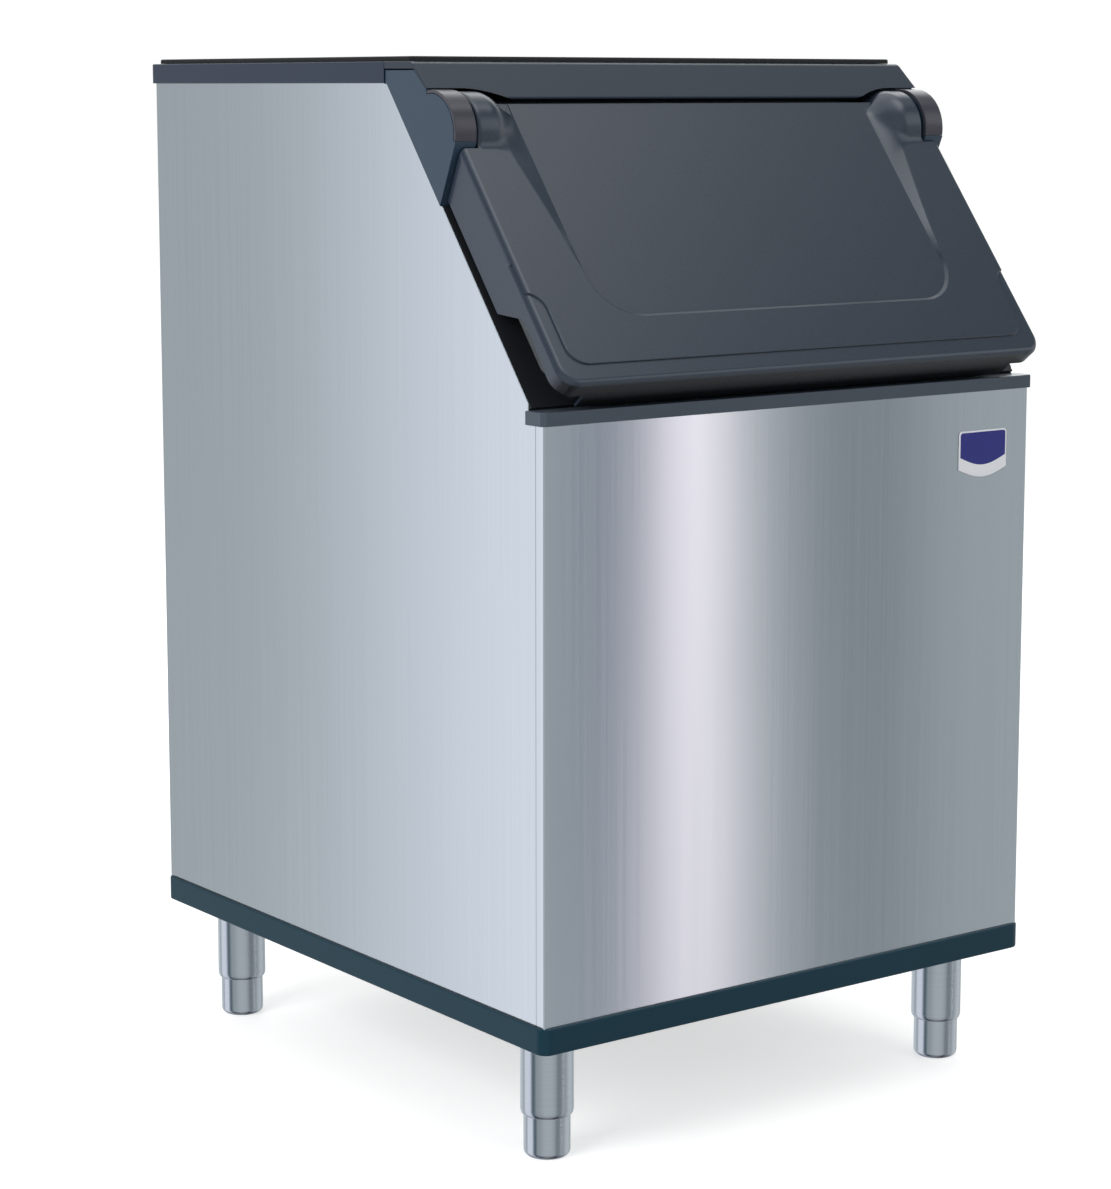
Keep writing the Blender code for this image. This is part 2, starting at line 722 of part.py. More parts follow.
def make_top():
    """Top trim round the ice drop opening, and the gasket that the ice machine stands on."""
    corners = [(-TRIM_X, TOP_FRONT), (TRIM_X, TOP_FRONT), (TRIM_X, TRIM_Y), (-TRIM_X, TRIM_Y)]
    outer = rounded(corners, [0, 0, TOP_CORNER, TOP_CORNER])
    opening = rectangle(
        (-CAVITY_X, CAVITY_X),
        (TOP_FRONT + TOP_BAR, TUB_REAR - LINER_WALL),
        FRAME_CORNER,
    )
    top = prism("top_trim", [outer, opening], TOP_BOTTOM, TOP_LEVEL)
    room = box(
        "top_trim_room",
        (-STEEL_X - FIT, STEEL_X + FIT),
        (TOP_FRONT + TOP_LIP, STEEL_Y + FIT),
        (TOP_BOTTOM - OVERRUN, TOP_LEVEL - TOP_WEB),
    )
    finish(cut(top, room), TRIM_DARK)
    x = TRIM_X - GASKET_INSET
    front = TOP_FRONT - HOOD_FLAT + GASKET_FRONT_INSET
    rear = TRIM_Y - GASKET_INSET
    ring = rectangle((-x, x), (front, rear), GASKET_WIDTH / 2)
    inner = rectangle(
        (-x + GASKET_WIDTH, x - GASKET_WIDTH), (front + GASKET_WIDTH, rear - GASKET_WIDTH)
    )
    finish(prism("top_gasket", [ring, inner], TOP_LEVEL + FIT, RIM_HEIGHT), BLACK_RUBBER)


HOOD_SLANT = math.hypot(HOOD_DEPTH, HOOD_DROP)
HOOD_BEND = TOP_FRONT - HOOD_FLAT


def hood_y(z, behind):
    """The y of the line behind the hood's slanted face by a distance, at a height."""
    return HOOD_BEND - (TOP_LEVEL - z) * HOOD_DEPTH / HOOD_DROP + behind * HOOD_SLANT / HOOD_DROP


def hood_meets(radius, behind):
    """Where the line behind the hood's slanted face meets a circle round the hinge axis."""
    y, z = hood_y(TOP_LEVEL, behind) - HINGE_Y, TOP_LEVEL - HINGE_Z
    along = (y * HOOD_DEPTH + z * HOOD_DROP) / HOOD_SLANT
    reach = math.sqrt(along**2 - (y**2 + z**2 - radius**2)) - along
    return (
        HINGE_Y + y + reach * HOOD_DEPTH / HOOD_SLANT,
        HINGE_Z + z + reach * HOOD_DROP / HOOD_SLANT,
    )


def ear_profile(grow, wider, end):
    """The ear's radius along X: flat beside the knuckle, then falling to the panel's level."""
    low = DOOR_FACE_OUT - PANEL_DEPTH + grow
    high = EAR_RADIUS + grow
    flat = EAR_X - EAR_WIDTH - wider
    steps = ARC_STEPS
    fall = [
        (low + (high - low) * (1 + math.cos(math.pi * k / steps)) / 2, flat - EAR_TAPER_WIDTH * k / steps)
        for k in range(steps + 1)
    ]
    return [*end, *fall, (0, flat - EAR_TAPER_WIDTH)]


def make_hood():
    """Fixed hood over the hinge: a flat top, a slanted face, and an underside scalloped over the ears."""
    lip = (HOOD_BEND - HOOD_DEPTH, TOP_LEVEL - HOOD_DROP)
    lip_inner = (
        lip[0] + HOOD_SKIRT * HOOD_DROP / HOOD_SLANT,
        lip[1] - HOOD_SKIRT * HOOD_DEPTH / HOOD_SLANT,
    )
    corners = [
        (TOP_FRONT - FIT, TOP_LEVEL),
        (HOOD_BEND, TOP_LEVEL),
        lip,
        lip_inner,
        (hood_y(HOOD_UNDER, HOOD_SKIRT), HOOD_UNDER),
        (TOP_FRONT - FIT, HOOD_UNDER),
    ]
    outline = rounded(corners, [0, HOOD_NOSE, HOOD_SKIRT / 3, 0, HOOD_NOSE, 0], EDGE_STEPS)
    hood = prism("hood", [outline], -TRIM_X, TRIM_X, "side")
    reach = EAR_RADIUS + SCALLOP_GAP
    outside = TRIM_X + OVERRUN
    for side, sign in SIDES:
        profile = ear_profile(SCALLOP_GAP, SCALLOP_WIDER, [(0, outside), (reach, outside)])
        cut(hood, turned(side + "_scallop", profile, hinge, (0, 0, 0), sign))
    finish(hood, DOOR_DARK)


SHOULDER_LENGTH = math.hypot(SHOULDER_SETBACK, DOOR_FACE_OUT + DOOR_BACK_IN)
SHOULDER_ALONG = (SHOULDER_SETBACK / SHOULDER_LENGTH, -(DOOR_FACE_OUT + DOOR_BACK_IN) / SHOULDER_LENGTH)
SHOULDER_OFF = (-SHOULDER_ALONG[1], SHOULDER_ALONG[0])


def shoulder_point(out, off):
    """How far below the hinge axis the shoulder's line is at a distance out from it, moved off by a gap."""
    base = (SHOULDER_DOWN + SHOULDER_OFF[0] * off, DOOR_FACE_OUT + SHOULDER_OFF[1] * off)
    return base[0] + (out - base[1]) * SHOULDER_ALONG[0] / SHOULDER_ALONG[1]


def make_hinges():
    """On each side a cheek beside the door, its knuckle cover, the hinge pin and the ear's bush."""
    under_hood = hood_meets(KNUCKLE_RADIUS + SWING_GAP - FIT, HOOD_SKIRT + FIT)
    low = math.radians(KNUCKLE_LOW_DEG)
    high = hinge_turn(*under_hood) - FIT / KNUCKLE_RADIUS
    nib = math.radians(KNUCKLE_LOW_DEG - KNUCKLE_NIB_DEG)
    inner = KNUCKLE_RADIUS - KNUCKLE_WALL
    seat = inner - FIT
    ease = FIT / inner
    steps = 2 * ARC_STEPS
    turns = [high + ease + (low - high - 2 * ease) * k / steps for k in range(steps + 1)]
    foot_out = FIT - HINGE_OUT
    foot_down = shoulder_point(foot_out, -SHOULDER_GAP)
    cheek_outline = [
        (TOP_FRONT - FIT, SLOPE_TOP_Z),
        (TOP_FRONT - FIT, HOOD_UNDER - FIT),
        (hood_y(HOOD_UNDER - FIT, HOOD_SKIRT + FIT), HOOD_UNDER - FIT),
        under_hood,
        *[hinge_point(seat, turn) for turn in turns],
        hinge_point(KNUCKLE_RADIUS, low - ease),
        hinge_point(KNUCKLE_RADIUS, nib),
        slope_point(HINGE_DOWN + foot_down, FIT),
        (slope_y(SLOPE_TOP_Z, FIT), SLOPE_TOP_Z),
    ]
    radii = [HOOD_NOSE if k == 2 else 0 for k in range(len(cheek_outline))]
    cheek_outline = rounded(cheek_outline, radii, EDGE_STEPS)
    turns = [high + (low - high) * k / steps for k in range(steps + 1)]
    cover_outline = [hinge_point(KNUCKLE_RADIUS, turn) for turn in turns]
    cover_outline += [hinge_point(inner, turn) for turn in reversed(turns)]
    bore = PIN_RADIUS + PIN_CLEARANCE
    bush_radius = bore + BUSH_WALL
    pin_x = (EAR_X - PIN_IN_EAR, CHEEK_INNER_X + PIN_IN_CHEEK)
    bush_top = CHEEK_INNER_X - FIT
    for side, sign in SIDES:
        x = span(sign, CHEEK_INNER_X, CHEEK_X)
        cheek = prism(side + "_cheek", [cheek_outline], *x, plane="side")
        socket = span(sign, CHEEK_INNER_X - OVERRUN, pin_x[1] + FIT)
        finish(cut(cheek, rod(side + "_pin_socket", bore, socket, hinge)), TRIM_DARK)
        finish(prism(side + "_knuckle_cover", [cover_outline], *x, plane="side"), KNUCKLE_DARK)
        finish(rod(side + "_hinge_pin", PIN_RADIUS, span(sign, *pin_x), hinge), LEG_STEEL)
        bush = turned(
            side + "_hinge_bush",
            [
                (BUSH_FLANGE, bush_top),
                (BUSH_FLANGE, EAR_X + FIT),
                (bush_radius, EAR_X + FIT),
                (bush_radius, pin_x[0]),
                (bore, pin_x[0]),
                (bore, bush_top),
            ],
            hinge,
            (0, 0, 0),
            sign,
        )
        finish(bush, NYLON)


def door_form(name, inset):
    """The door's outer form or, with an inset, the hollow in it, drawn out past the door's back."""
    half = DOOR_X - inset
    low = -DOOR_REACH + inset
    high = DOOR_TOP - inset
    corner = DOOR_CORNER - inset
    face = DOOR_FACE_OUT - (inset + PANEL_DEPTH if inset else 0)
    behind = -DOOR_BACK_IN - OVERRUN
    corners = [(-half, low), (half, low), (half, high), (-half, high)]
    outline = rounded(corners, [corner, corner, 0, 0])
    form = prism(name, [outline], behind, face, parent=hinge)
    round_edges(form, DOOR_EDGE - inset)
    above = DOOR_FACE_OUT + OVERRUN
    wedge = [
        (-shoulder_point(above, inset), above),
        (-shoulder_point(behind - FIT, inset), behind - FIT),
        (2 * OVERRUN, behind - FIT),
        (2 * OVERRUN, above),
    ]
    for side, sign in SIDES:
        x = span(sign, EAR_X - inset, DOOR_X + OVERRUN)
        cut(form, prism(f"{name}_{side}_wedge", [wedge], *x, plane="side", parent=hinge))
    return form


def make_door():
    """The lift-up door's shell, with ears on the hinge, a sunken panel, a stepped rim and side grips."""
    shell = door_form("door_shell", 0)
    hollow = door_form("door_hollow", DOOR_WALL)
    far_x = DOOR_X + OVERRUN
    far_low = -DOOR_REACH - OVERRUN
    far_out = DOOR_FACE_OUT + OVERRUN
    back = box(
        "door_back",
        (-far_x, far_x),
        (far_low, 2 * OVERRUN),
        (-DOOR_BACK_IN - 2 * OVERRUN, -DOOR_BACK_IN),
        hinge,
    )
    low_back = box(
        "door_low_back",
        (-far_x, far_x),
        (far_low, -DOOR_REACH + 2 * DOOR_WALL),
        (-DOOR_BACK_IN - OVERRUN, DOOR_FACE_OUT - DOOR_LOW_LIP),
        hinge,
    )
    panel_low = -DOOR_REACH + PANEL_UP
    panel_corners = [
        (-PANEL_X, panel_low),
        (PANEL_X, panel_low),
        (PANEL_X, DOOR_TOP + OVERRUN),
        (-PANEL_X, DOOR_TOP + OVERRUN),
    ]
    panel = prism(
        "door_panel_room",
        [rounded(panel_corners, [PANEL_CORNER, PANEL_CORNER, 0, 0])],
        DOOR_FACE_OUT - PANEL_DEPTH,
        far_out,
        parent=hinge,
    )
    raised_x = DOOR_X - RIM_SIDE
    raised_low = -DOOR_REACH + RIM_LOW
    start = -DOOR_REACH + RIM_START
    turn = -DOOR_REACH + RIM_BEND
    flare = far_x - raised_x
    raised_corners = [
        (-far_x, start),
        (-raised_x, turn),
        (-raised_x, raised_low),
        (raised_x, raised_low),
        (raised_x, turn),
        (far_x, start),
        (far_x, 2 * OVERRUN),
        (-far_x, 2 * OVERRUN),
    ]
    raised = rounded(raised_corners, [0, RIM_SIDE, DOOR_CORNER, DOOR_CORNER, RIM_SIDE, 0, 0, 0])
    around = rectangle((-far_x - flare, far_x + flare), (far_low, 3 * OVERRUN))
    rim = prism("door_rim_room", [around, raised], DOOR_FACE_OUT - RIM_DEPTH, far_out, parent=hinge)
    cut(shell, hollow, back, low_back, panel, rim)
    grip_top = DOOR_FACE_OUT - GRIP_LIP
    grip_start = -DOOR_REACH + GRIP_START
    behind = -DOOR_BACK_IN - OVERRUN
    grip_corners = [
        (grip_start, behind),
        (grip_start, -DOOR_BACK_IN),
        (grip_start - GRIP_RAMP, grip_top),
        (far_low, DOOR_FACE_OUT - GRIP_LIP_END),
        (far_low, behind),
    ]
    grip = rounded(grip_corners, [0, 0, GRIP_CORNER, 0, 0])
    edge = [
        (
            EAR_RADIUS - EAR_EDGE + EAR_EDGE * math.sin(turn),
            EAR_X - EAR_EDGE + EAR_EDGE * math.cos(turn),
        )
        for turn in (math.pi / 2 * k / EDGE_STEPS for k in range(EDGE_STEPS + 1))
    ]
    bore = PIN_RADIUS + PIN_CLEARANCE + BUSH_WALL + FIT
    for side, sign in SIDES:
        x = span(sign, TRAY_X + FIT, far_x)
        cut(shell, prism(side + "_grip_room", [grip], *x, plane="side", parent=hinge))
        profile = ear_profile(0, 0, [(0, EAR_X), *edge])
        join(shell, turned(side + "_ear", profile, hinge, (0, 0, 0), sign))
        socket = span(sign, EAR_X - PIN_IN_EAR - FIT, EAR_X + OVERRUN)
        cut(shell, rod(side + "_bush_socket", bore, socket, hinge))
    finish(shell, DOOR_DARK)
    tray_back = TRAY_OUT - HINGE_OUT
    tray_front = DOOR_FACE_OUT - PANEL_DEPTH - DOOR_WALL - FIT
    tray_low = -DOOR_REACH + TRAY_END_GAP
    tray = prism(
        "door_inner_panel",
        [rectangle((-TRAY_X, TRAY_X), (tray_low, -TRAY_TOP), TRAY_CORNER)],
        tray_back,
        tray_front,
        parent=hinge,
    )
    wall = TRAY_WALL
    room = prism(
        "tray_room",
        [
            rectangle(
                (-TRAY_X + wall, TRAY_X - wall),
                (tray_low + wall, -TRAY_TOP - wall),
                TRAY_CORNER - wall,
            )
        ],
        tray_back + wall,
        tray_front + OVERRUN,
        parent=hinge,
    )
    finish(cut(tray, room), TRIM_DARK)


def make_bumpers():
    """Two soft pads on the access frame that the closed door rests on."""
    middle = -FRAME_BOTTOM_END + FRAME_BOTTOM_BAR / 2
    y = (middle - BUMPER_HEIGHT / 2, middle + BUMPER_HEIGHT / 2)
    for side, sign in SIDES:
        outer = CAVITY_X - BUMPER_IN
        x = span(sign, outer - BUMPER_WIDTH, outer)
        finish(box(side + "_bumper", x, y, (FIT, TRAY_OUT - FIT), slope), BLACK_RUBBER)


def make_drain():
    """Flanged drain fitting through the tub's floor, and the nut that holds it under the base."""
    at = (0, TUB_REAR - DRAIN_TO_REAR, 0)
    seat = CAVITY_BOTTOM + FIT
    fitting = turned(
        "drain_fitting",
        [
            (DRAIN_FLANGE, seat + DRAIN_FLANGE_SHEET),
            (DRAIN_FLANGE, seat),
            (DRAIN_RADIUS, seat),
            (DRAIN_RADIUS, DRAIN_BOTTOM),
            (DRAIN_BORE, DRAIN_BOTTOM),
            (DRAIN_BORE, seat + DRAIN_FLANGE_SHEET),
        ],
        datum,
        at,
    )
    finish(fitting, DRAIN_BLACK)

    def ring(radius, sides):
        return [
            (radius * math.cos(math.tau * k / sides), at[1] + radius * math.sin(math.tau * k / sides))
            for k in range(sides)
        ]

    top = WEB_BOTTOM - FIT
    hexagon = ring(NUT_RADIUS, 6)
    nut = prism("drain_nut", [hexagon, ring(DRAIN_RADIUS + FIT, ROUND_STEPS)], top - NUT_HEIGHT, top)
    finish(nut, DRAIN_BLACK)


def make_badge():
    """Plain badge plate on the front panel, with a bowed lower edge."""
    right = STEEL_X - BADGE_TO_SIDE
    left = right - BADGE_WIDTH
    top = RAIL_BOTTOM - BADGE_TO_RAIL
    low = top - BADGE_HEIGHT
    steps = 2 * ARC_STEPS
    bow = [
        (left + BADGE_WIDTH * k / steps, low - BADGE_BULGE * math.sin(math.pi * k / steps))
        for k in range(steps + 1)
    ]
    outline = rounded([(right, top), (left, top), *bow], [BADGE_CORNER] * 2 + [0] * len(bow))
    face = -STEEL_Y - FIT
    finish(prism("badge_plate", [outline], face - BADGE_SHEET, face, "front"), BADGE_BLUE)


make_base()
make_legs()
make_skins()
make_tub()
make_access_frame()
make_top()
make_hood()
make_hinges()
make_door()
make_bumpers()
make_drain()
make_badge()
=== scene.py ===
"""Looks of the ice storage bin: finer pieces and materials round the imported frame, the light and the camera.

Metres, in the frame's own axes: +Z up, front towards -Y, left is -X. Pieces of the sloped front are drawn
in "door" axes, with X along the hinge, Y up the slope and Z outwards from the hinge axis, or in "slope"
axes, which are turned the same way and start at the slope's top.
"""

import math

import bmesh
import bpy
from mathutils import Matrix, Vector


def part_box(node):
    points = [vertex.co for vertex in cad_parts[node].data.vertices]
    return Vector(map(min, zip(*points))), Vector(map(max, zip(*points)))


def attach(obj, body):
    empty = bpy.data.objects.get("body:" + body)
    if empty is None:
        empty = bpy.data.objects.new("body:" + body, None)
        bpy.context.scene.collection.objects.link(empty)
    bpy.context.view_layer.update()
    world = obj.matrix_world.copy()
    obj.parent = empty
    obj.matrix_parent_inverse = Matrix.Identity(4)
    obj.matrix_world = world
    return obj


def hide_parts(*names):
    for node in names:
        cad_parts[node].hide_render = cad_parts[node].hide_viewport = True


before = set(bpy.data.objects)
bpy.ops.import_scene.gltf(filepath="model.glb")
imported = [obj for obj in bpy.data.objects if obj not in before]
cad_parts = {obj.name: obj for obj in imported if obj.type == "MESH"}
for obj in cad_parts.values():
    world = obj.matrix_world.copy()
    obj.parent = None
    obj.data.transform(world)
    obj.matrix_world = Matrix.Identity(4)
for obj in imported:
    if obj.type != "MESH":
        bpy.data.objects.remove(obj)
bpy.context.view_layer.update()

# Places read from the frame.
base_low, base_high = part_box("base_trim")
top_low, top_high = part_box("top_trim")
steel_low, steel_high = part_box("left_side_panel")
pin_low, pin_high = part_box("left_hinge_pin")
rail_low, rail_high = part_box("front_rail")
front_low, front_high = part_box("front_panel")
liner_low, liner_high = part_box("liner")
cheek_low, cheek_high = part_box("left_cheek")
TRIM_X = base_high.x
TRIM_FRONT = base_low.y
TRIM_REAR = base_high.y
STEEL_X = -steel_low.x
STEEL_FRONT = front_low.y
STEEL_REAR = steel_high.y
STEEL_BOTTOM = steel_low.z
STEEL_TOP = steel_high.z
INSIDE_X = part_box("access_frame")[1].x
TOP_LEVEL = top_high.z
TOP_BOTTOM = top_low.z
TOP_FRONT = top_low.y
RAIL_TOP = rail_high.z
RAIL_REAR = rail_high.y
PANEL_TOP = front_high.z
TUB_X = liner_high.x
TUB_FRONT = liner_low.y
TUB_REAR = liner_high.y
TUB_BOTTOM = liner_low.z
HINGE_Y = (pin_low.y + pin_high.y) / 2
HINGE_Z = (pin_low.z + pin_high.z) / 2
CHEEK_X = -cheek_low.x
CHEEK_INNER_X = -cheek_high.x

# Sizes that the drawn pieces share with the frame.
FIT = 0.0003
FAR = 0.030
SHEET = 0.0010
FRONT_RETURN = 0.015
STEEL_CORNER = 0.0018
BASE_WALL = 0.0046
BASE_LAP = 0.010
BASE_WEB = 0.004
BASE_SKIRT = 0.012
BASE_CORNER = 0.014
TOP_WEB = 0.0147
TOP_LIP = 0.0055
TOP_BAR = 0.035
TOP_CORNER = 0.006
TOP_SETBACK = 0.002
SLOPE_DEPTH = 0.2763
SLOPE_DROP = 0.3525
RAIL_TOP_SHEET = 0.009
RAIL_CHAMFER = 0.005
HOOD_FLAT = 0.056
HOOD_DEPTH = 0.0465
HOOD_DROP = 0.0412
HOOD_WALL = 0.0085
HOOD_SKIRT = 0.003
HOOD_NOSE = 0.006
HOOD_BEND_RADIUS = 0.014
SCALLOP_GAP = 0.004
SCALLOP_WIDER = 0.012
SCALLOP_FALL = 0.120
SEAM = 0.0014
LINER_WALL = 0.003
CAVITY_CORNER = 0.010
FRAME_DEPTH = 0.008
FRAME_TOP_END = 0.004
FRAME_PAST_SLOPE = 0.0056
FRAME_TOP_BAR = 0.024
FRAME_BOTTOM_BAR = 0.040
FRAME_CORNER = 0.012
HINGE_DOWN = 0.102
HINGE_OUT = 0.037
KNUCKLE_RADIUS = 0.050
KNUCKLE_WALL = 0.004
KNUCKLE_LOW_DEG = 42.7
KNUCKLE_NIB_DEG = 2.7
EAR_GAP = 0.0035
SWING_GAP = 0.0020
DOOR_IN = 0.009
DOOR_OVERHANG = 0.0191
DOOR_FACE_OUT = 0.029
DOOR_BACK_IN = 0.0284
DOOR_TOP = 0.024
DOOR_WALL = 0.004
DOOR_EDGE = 0.008
DOOR_CORNER = 0.026
SHOULDER_DOWN = 0.043
SHOULDER_SETBACK = 0.0308
SHOULDER_GAP = 0.0025
EAR_RADIUS = 0.048
EAR_WIDTH = 0.0245
EAR_EDGE = 0.005
PANEL_DEPTH = 0.003
PANEL_IN = 0.096
PANEL_UP = 0.088
PANEL_CORNER = 0.058
RIM_DEPTH = 0.0025
RIM_START = 0.143
RIM_BEND = 0.113
RIM_SIDE = 0.021
RIM_LOW = 0.025
GRIP_START = 0.134
GRIP_RAMP = 0.034
GRIP_LIP = 0.020
GRIP_LIP_END = 0.028
GRIP_CORNER = 0.022
DOOR_LOW_LIP = 0.049
TRAY_IN = 0.008
TRAY_TOP = 0.050
TRAY_END_GAP = 0.012
TRAY_OUT = 0.004
TRAY_WALL = 0.0035
TRAY_CORNER = 0.020
SOCKET_RADIUS = 0.01038
SOCKET_DEPTH = 0.0343
DRAIN_HOLE = 0.0175
DRAIN_TO_REAR = 0.130
SLEEVE_RADIUS = 0.0319
SLEEVE_EDGE = 0.0035
FOOT_RADIUS = 0.0280
FOOT_EDGE = 0.0075
FOOT_TOP = 0.112
FOOT_TAIL_RADIUS = 0.0240
FOOT_TAIL = 0.006

# Edges and lips that only the drawn pieces have. A pair is for a piece's low end and its high end.
BASE_EDGES = 0.0022, 0.0018
NECK_IN = SLEEVE_EDGE * 0.62
NECK_UP = SLEEVE_EDGE * 2.2
STEEL_EDGE = SHEET * 0.8
FRAME_EDGE = 0.0006
FRAME_FLARE = 0.0025
RAIL_EDGES = 0.0008, 0.0014
TOP_EDGES = 0.0012, 0.0018
TOP_FLARE = 0.003
HOOD_EDGE = 0.0012
CHEEK_EDGES = 0.0005, 0.0006
COVER_EDGES = 0.0008, 0.0014
TRAY_EDGE = 0.003

# Worked out from those.
SLOPE_LENGTH = math.hypot(SLOPE_DEPTH, SLOPE_DROP)
SLOPE_TILT = math.atan2(SLOPE_DROP, SLOPE_DEPTH)
SLOPE_TOP_Y = TOP_FRONT - TOP_SETBACK
SLOPE_TOP_Z = TOP_BOTTOM
CAVITY_X = TUB_X - LINER_WALL
EAR_X = CHEEK_INNER_X - EAR_GAP
DOOR_X = TRIM_X - DOOR_IN
PANEL_X = DOOR_X - PANEL_IN
TRAY_X = CAVITY_X - TRAY_IN
DOOR_REACH = SLOPE_LENGTH + DOOR_OVERHANG - HINGE_DOWN
PANEL_LEVEL = DOOR_FACE_OUT - PANEL_DEPTH
DOOR_AXES = Matrix.Translation((0, HINGE_Y, HINGE_Z)) @ Matrix.Rotation(SLOPE_TILT, 4, "X")
SLOPE_AXES = Matrix.Translation((0, SLOPE_TOP_Y, SLOPE_TOP_Z)) @ Matrix.Rotation(SLOPE_TILT, 4, "X")
SIDES = (("left", -1), ("right", 1))
CORNERS = ("front_left", "front_right", "rear_left", "rear_right")


def slope_point(down, out):
    """The y and z of a place given along the slope from its top, and square to it."""
    spot = SLOPE_AXES @ Vector((0, -down, out))
    return spot.y, spot.z


def slope_y(z, out):
    """The y of the line along the slope at a distance in front of it, at a height."""
    return SLOPE_TOP_Y - (SLOPE_TOP_Z - z) * SLOPE_DEPTH / SLOPE_DROP - out * SLOPE_LENGTH / SLOPE_DROP


def slope_z(y, out):
    """The height of the line along the slope at a distance in front of it."""
    return SLOPE_TOP_Z - (SLOPE_TOP_Y - y - out * SLOPE_LENGTH / SLOPE_DROP) * SLOPE_DROP / SLOPE_DEPTH


def hinge_point(radius, turn):
    """The y and z of a place round the hinge axis. Turn 0 is down the slope, 90 degrees is outwards."""
    return slope_point(HINGE_DOWN + radius * math.cos(turn), HINGE_OUT + radius * math.sin(turn))


# Drawing: outlines, lofts and what is made of them.
PLANES = {
    "plan": lambda u, v, w: (u, v, w),
    "side": lambda u, v, w: (w, u, v),
    "front": lambda u, v, w: (u, w, v),
    "door": lambda u, v, w: DOOR_AXES @ Vector((u, v, w)),
    "slope": lambda u, v, w: SLOPE_AXES @ Vector((u, v, w)),
}


def rounded(points, radii, steps=10):
    """A closed outline whose corners are arcs of the radii given, one for each point."""
    outline = []
    count = len(points)
    for i, radius in enumerate(radii):
        before, corner, after = (Vector(points[k % count]) for k in (i - 1, i, i + 1))
        if radius == 0:
            outline.append(tuple(corner))
            continue
        u, v = before - corner, after - corner
        reach = min(u.length, v.length) / 2
        u.normalize()
        v.normalize()
        half = math.acos(max(-1, min(1, u.dot(v)))) / 2
        inset = min(radius / math.tan(half), reach)
        fillet = inset * math.tan(half)
        centre = corner + (u + v).normalized() * fillet / math.sin(half)
        first, last = corner + u * inset - centre, corner + v * inset - centre
        start, end = math.atan2(first.y, first.x), math.atan2(last.y, last.x)
        sweep = (end - start + math.pi) % math.tau - math.pi
        for k in range(steps + 1):
            turn = start + sweep * k / steps
            outline.append((centre.x + fillet * math.cos(turn), centre.y + fillet * math.sin(turn)))
    return outline


def rectangle(x, y, radius=0, upper=None, steps=10):
    """A rectangle's outline between two values each way. Its upper corners can have their own radius."""
    corners = [(x[0], y[0]), (x[1], y[0]), (x[1], y[1]), (x[0], y[1])]
    upper = radius if upper is None else upper
    return rounded(corners, [radius, radius, upper, upper], steps)


def inset_outline(outline, inset):
    """The outline moved inwards by a distance, or outwards where it is negative."""
    if inset == 0:
        return outline
    count = len(outline)
    area = sum(
        outline[k - 1][0] * outline[k][1] - outline[k][0] * outline[k - 1][1] for k in range(count)
    )
    side = 1 if area > 0 else -1
    moved = []
    for k in range(count):
        here = Vector(outline[k])
        a = (here - Vector(outline[k - 1])).normalized()
        b = (Vector(outline[(k + 1) % count]) - here).normalized()
        na, nb = Vector((-a.y, a.x)) * side, Vector((-b.y, b.x)) * side
        moved.append(tuple(here + (na + nb) * inset / (1 + na.dot(nb))))
    return moved


def add_object(name, data):
    """A new object in the scene."""
    obj = bpy.data.objects.new(name, data)
    bpy.context.scene.collection.objects.link(obj)
    return obj


def add_mesh(name, bm):
    """A new object from a bmesh, with its faces pointing outwards."""
    bmesh.ops.recalc_face_normals(bm, faces=bm.faces)
    mesh = bpy.data.meshes.new(name)
    bm.to_mesh(mesh)
    bm.free()
    return add_object(name, mesh)


def loft(name, rings, loop=False, triangles=False):
    """A closed form through rings of equal count, capped at both ends or joined end to end."""
    bm = bmesh.new()
    rows = [[bm.verts.new(p) for p in ring] for ring in rings]
    count = len(rows[0])
    if loop:
        rows.append(rows[0])
    for a, b in zip(rows, rows[1:]):
        for k in range(count):
            n = (k + 1) % count
            bm.faces.new((a[k], a[n], b[n], b[k]))
    if not loop:
        bm.faces.new(list(reversed(rows[0])))
        bm.faces.new(rows[-1])
    if triangles:
        bm.normal_update()
        bmesh.ops.triangulate(bm, faces=bm.faces)
    return add_mesh(name, bm)


def between(first, last, steps):
    """Even steps from one value to another, with both ends."""
    return [first + (last - first) * k / steps for k in range(steps + 1)]


def quarter(radius, steps, skip=0):
    """Steps round a quarter circle: how far along each is one way, and how much is left the other way."""
    turns = [math.pi / 2 * k / steps for k in range(skip, steps + 1)]
    return [(radius * (1 - math.cos(t)), radius * (1 - math.sin(t))) for t in turns]


def eased(low, high, low_edge=0, high_edge=0, steps=4):
    """Insets and levels from low to high, with a rounded edge at either end."""
    profile = [(0, low)]
    if low_edge:
        profile = [(left, low + along) for along, left in quarter(low_edge, steps)]
    if high_edge:
        return profile + [(along, high - left) for along, left in quarter(high_edge, steps)]
    return profile + [(0, high)]


def flared(low, high, lip):
    """Insets and levels of a tool that cuts a hole from low to high, and rounds the hole's high edge."""
    proud, over, wide = 0.0002, 0.0006, -lip * 1.2
    rim = [(-along, high - left + proud) for along, left in quarter(lip, 5, 1)]
    return [(0, low - FAR), (0, high - lip), *rim, (wide, high + over), (wide, high + FAR)]


def mirrored(profile, sign):
    """The profile with its levels on the side that the sign says."""
    return [(inset, sign * level) for inset, level in profile]


def solid(name, outline, profile, plane="plan"):
    """An outline drawn through a profile of insets and levels."""
    put = PLANES[plane]
    rings = [[put(u, v, level) for u, v in inset_outline(outline, inset)] for inset, level in profile]
    return loft(name, rings)


def block(name, x, y, z, plane="plan"):
    """A plain box, used only to cut with."""
    return solid(name, rectangle(x, y), [(0, z[0]), (0, z[1])], plane)


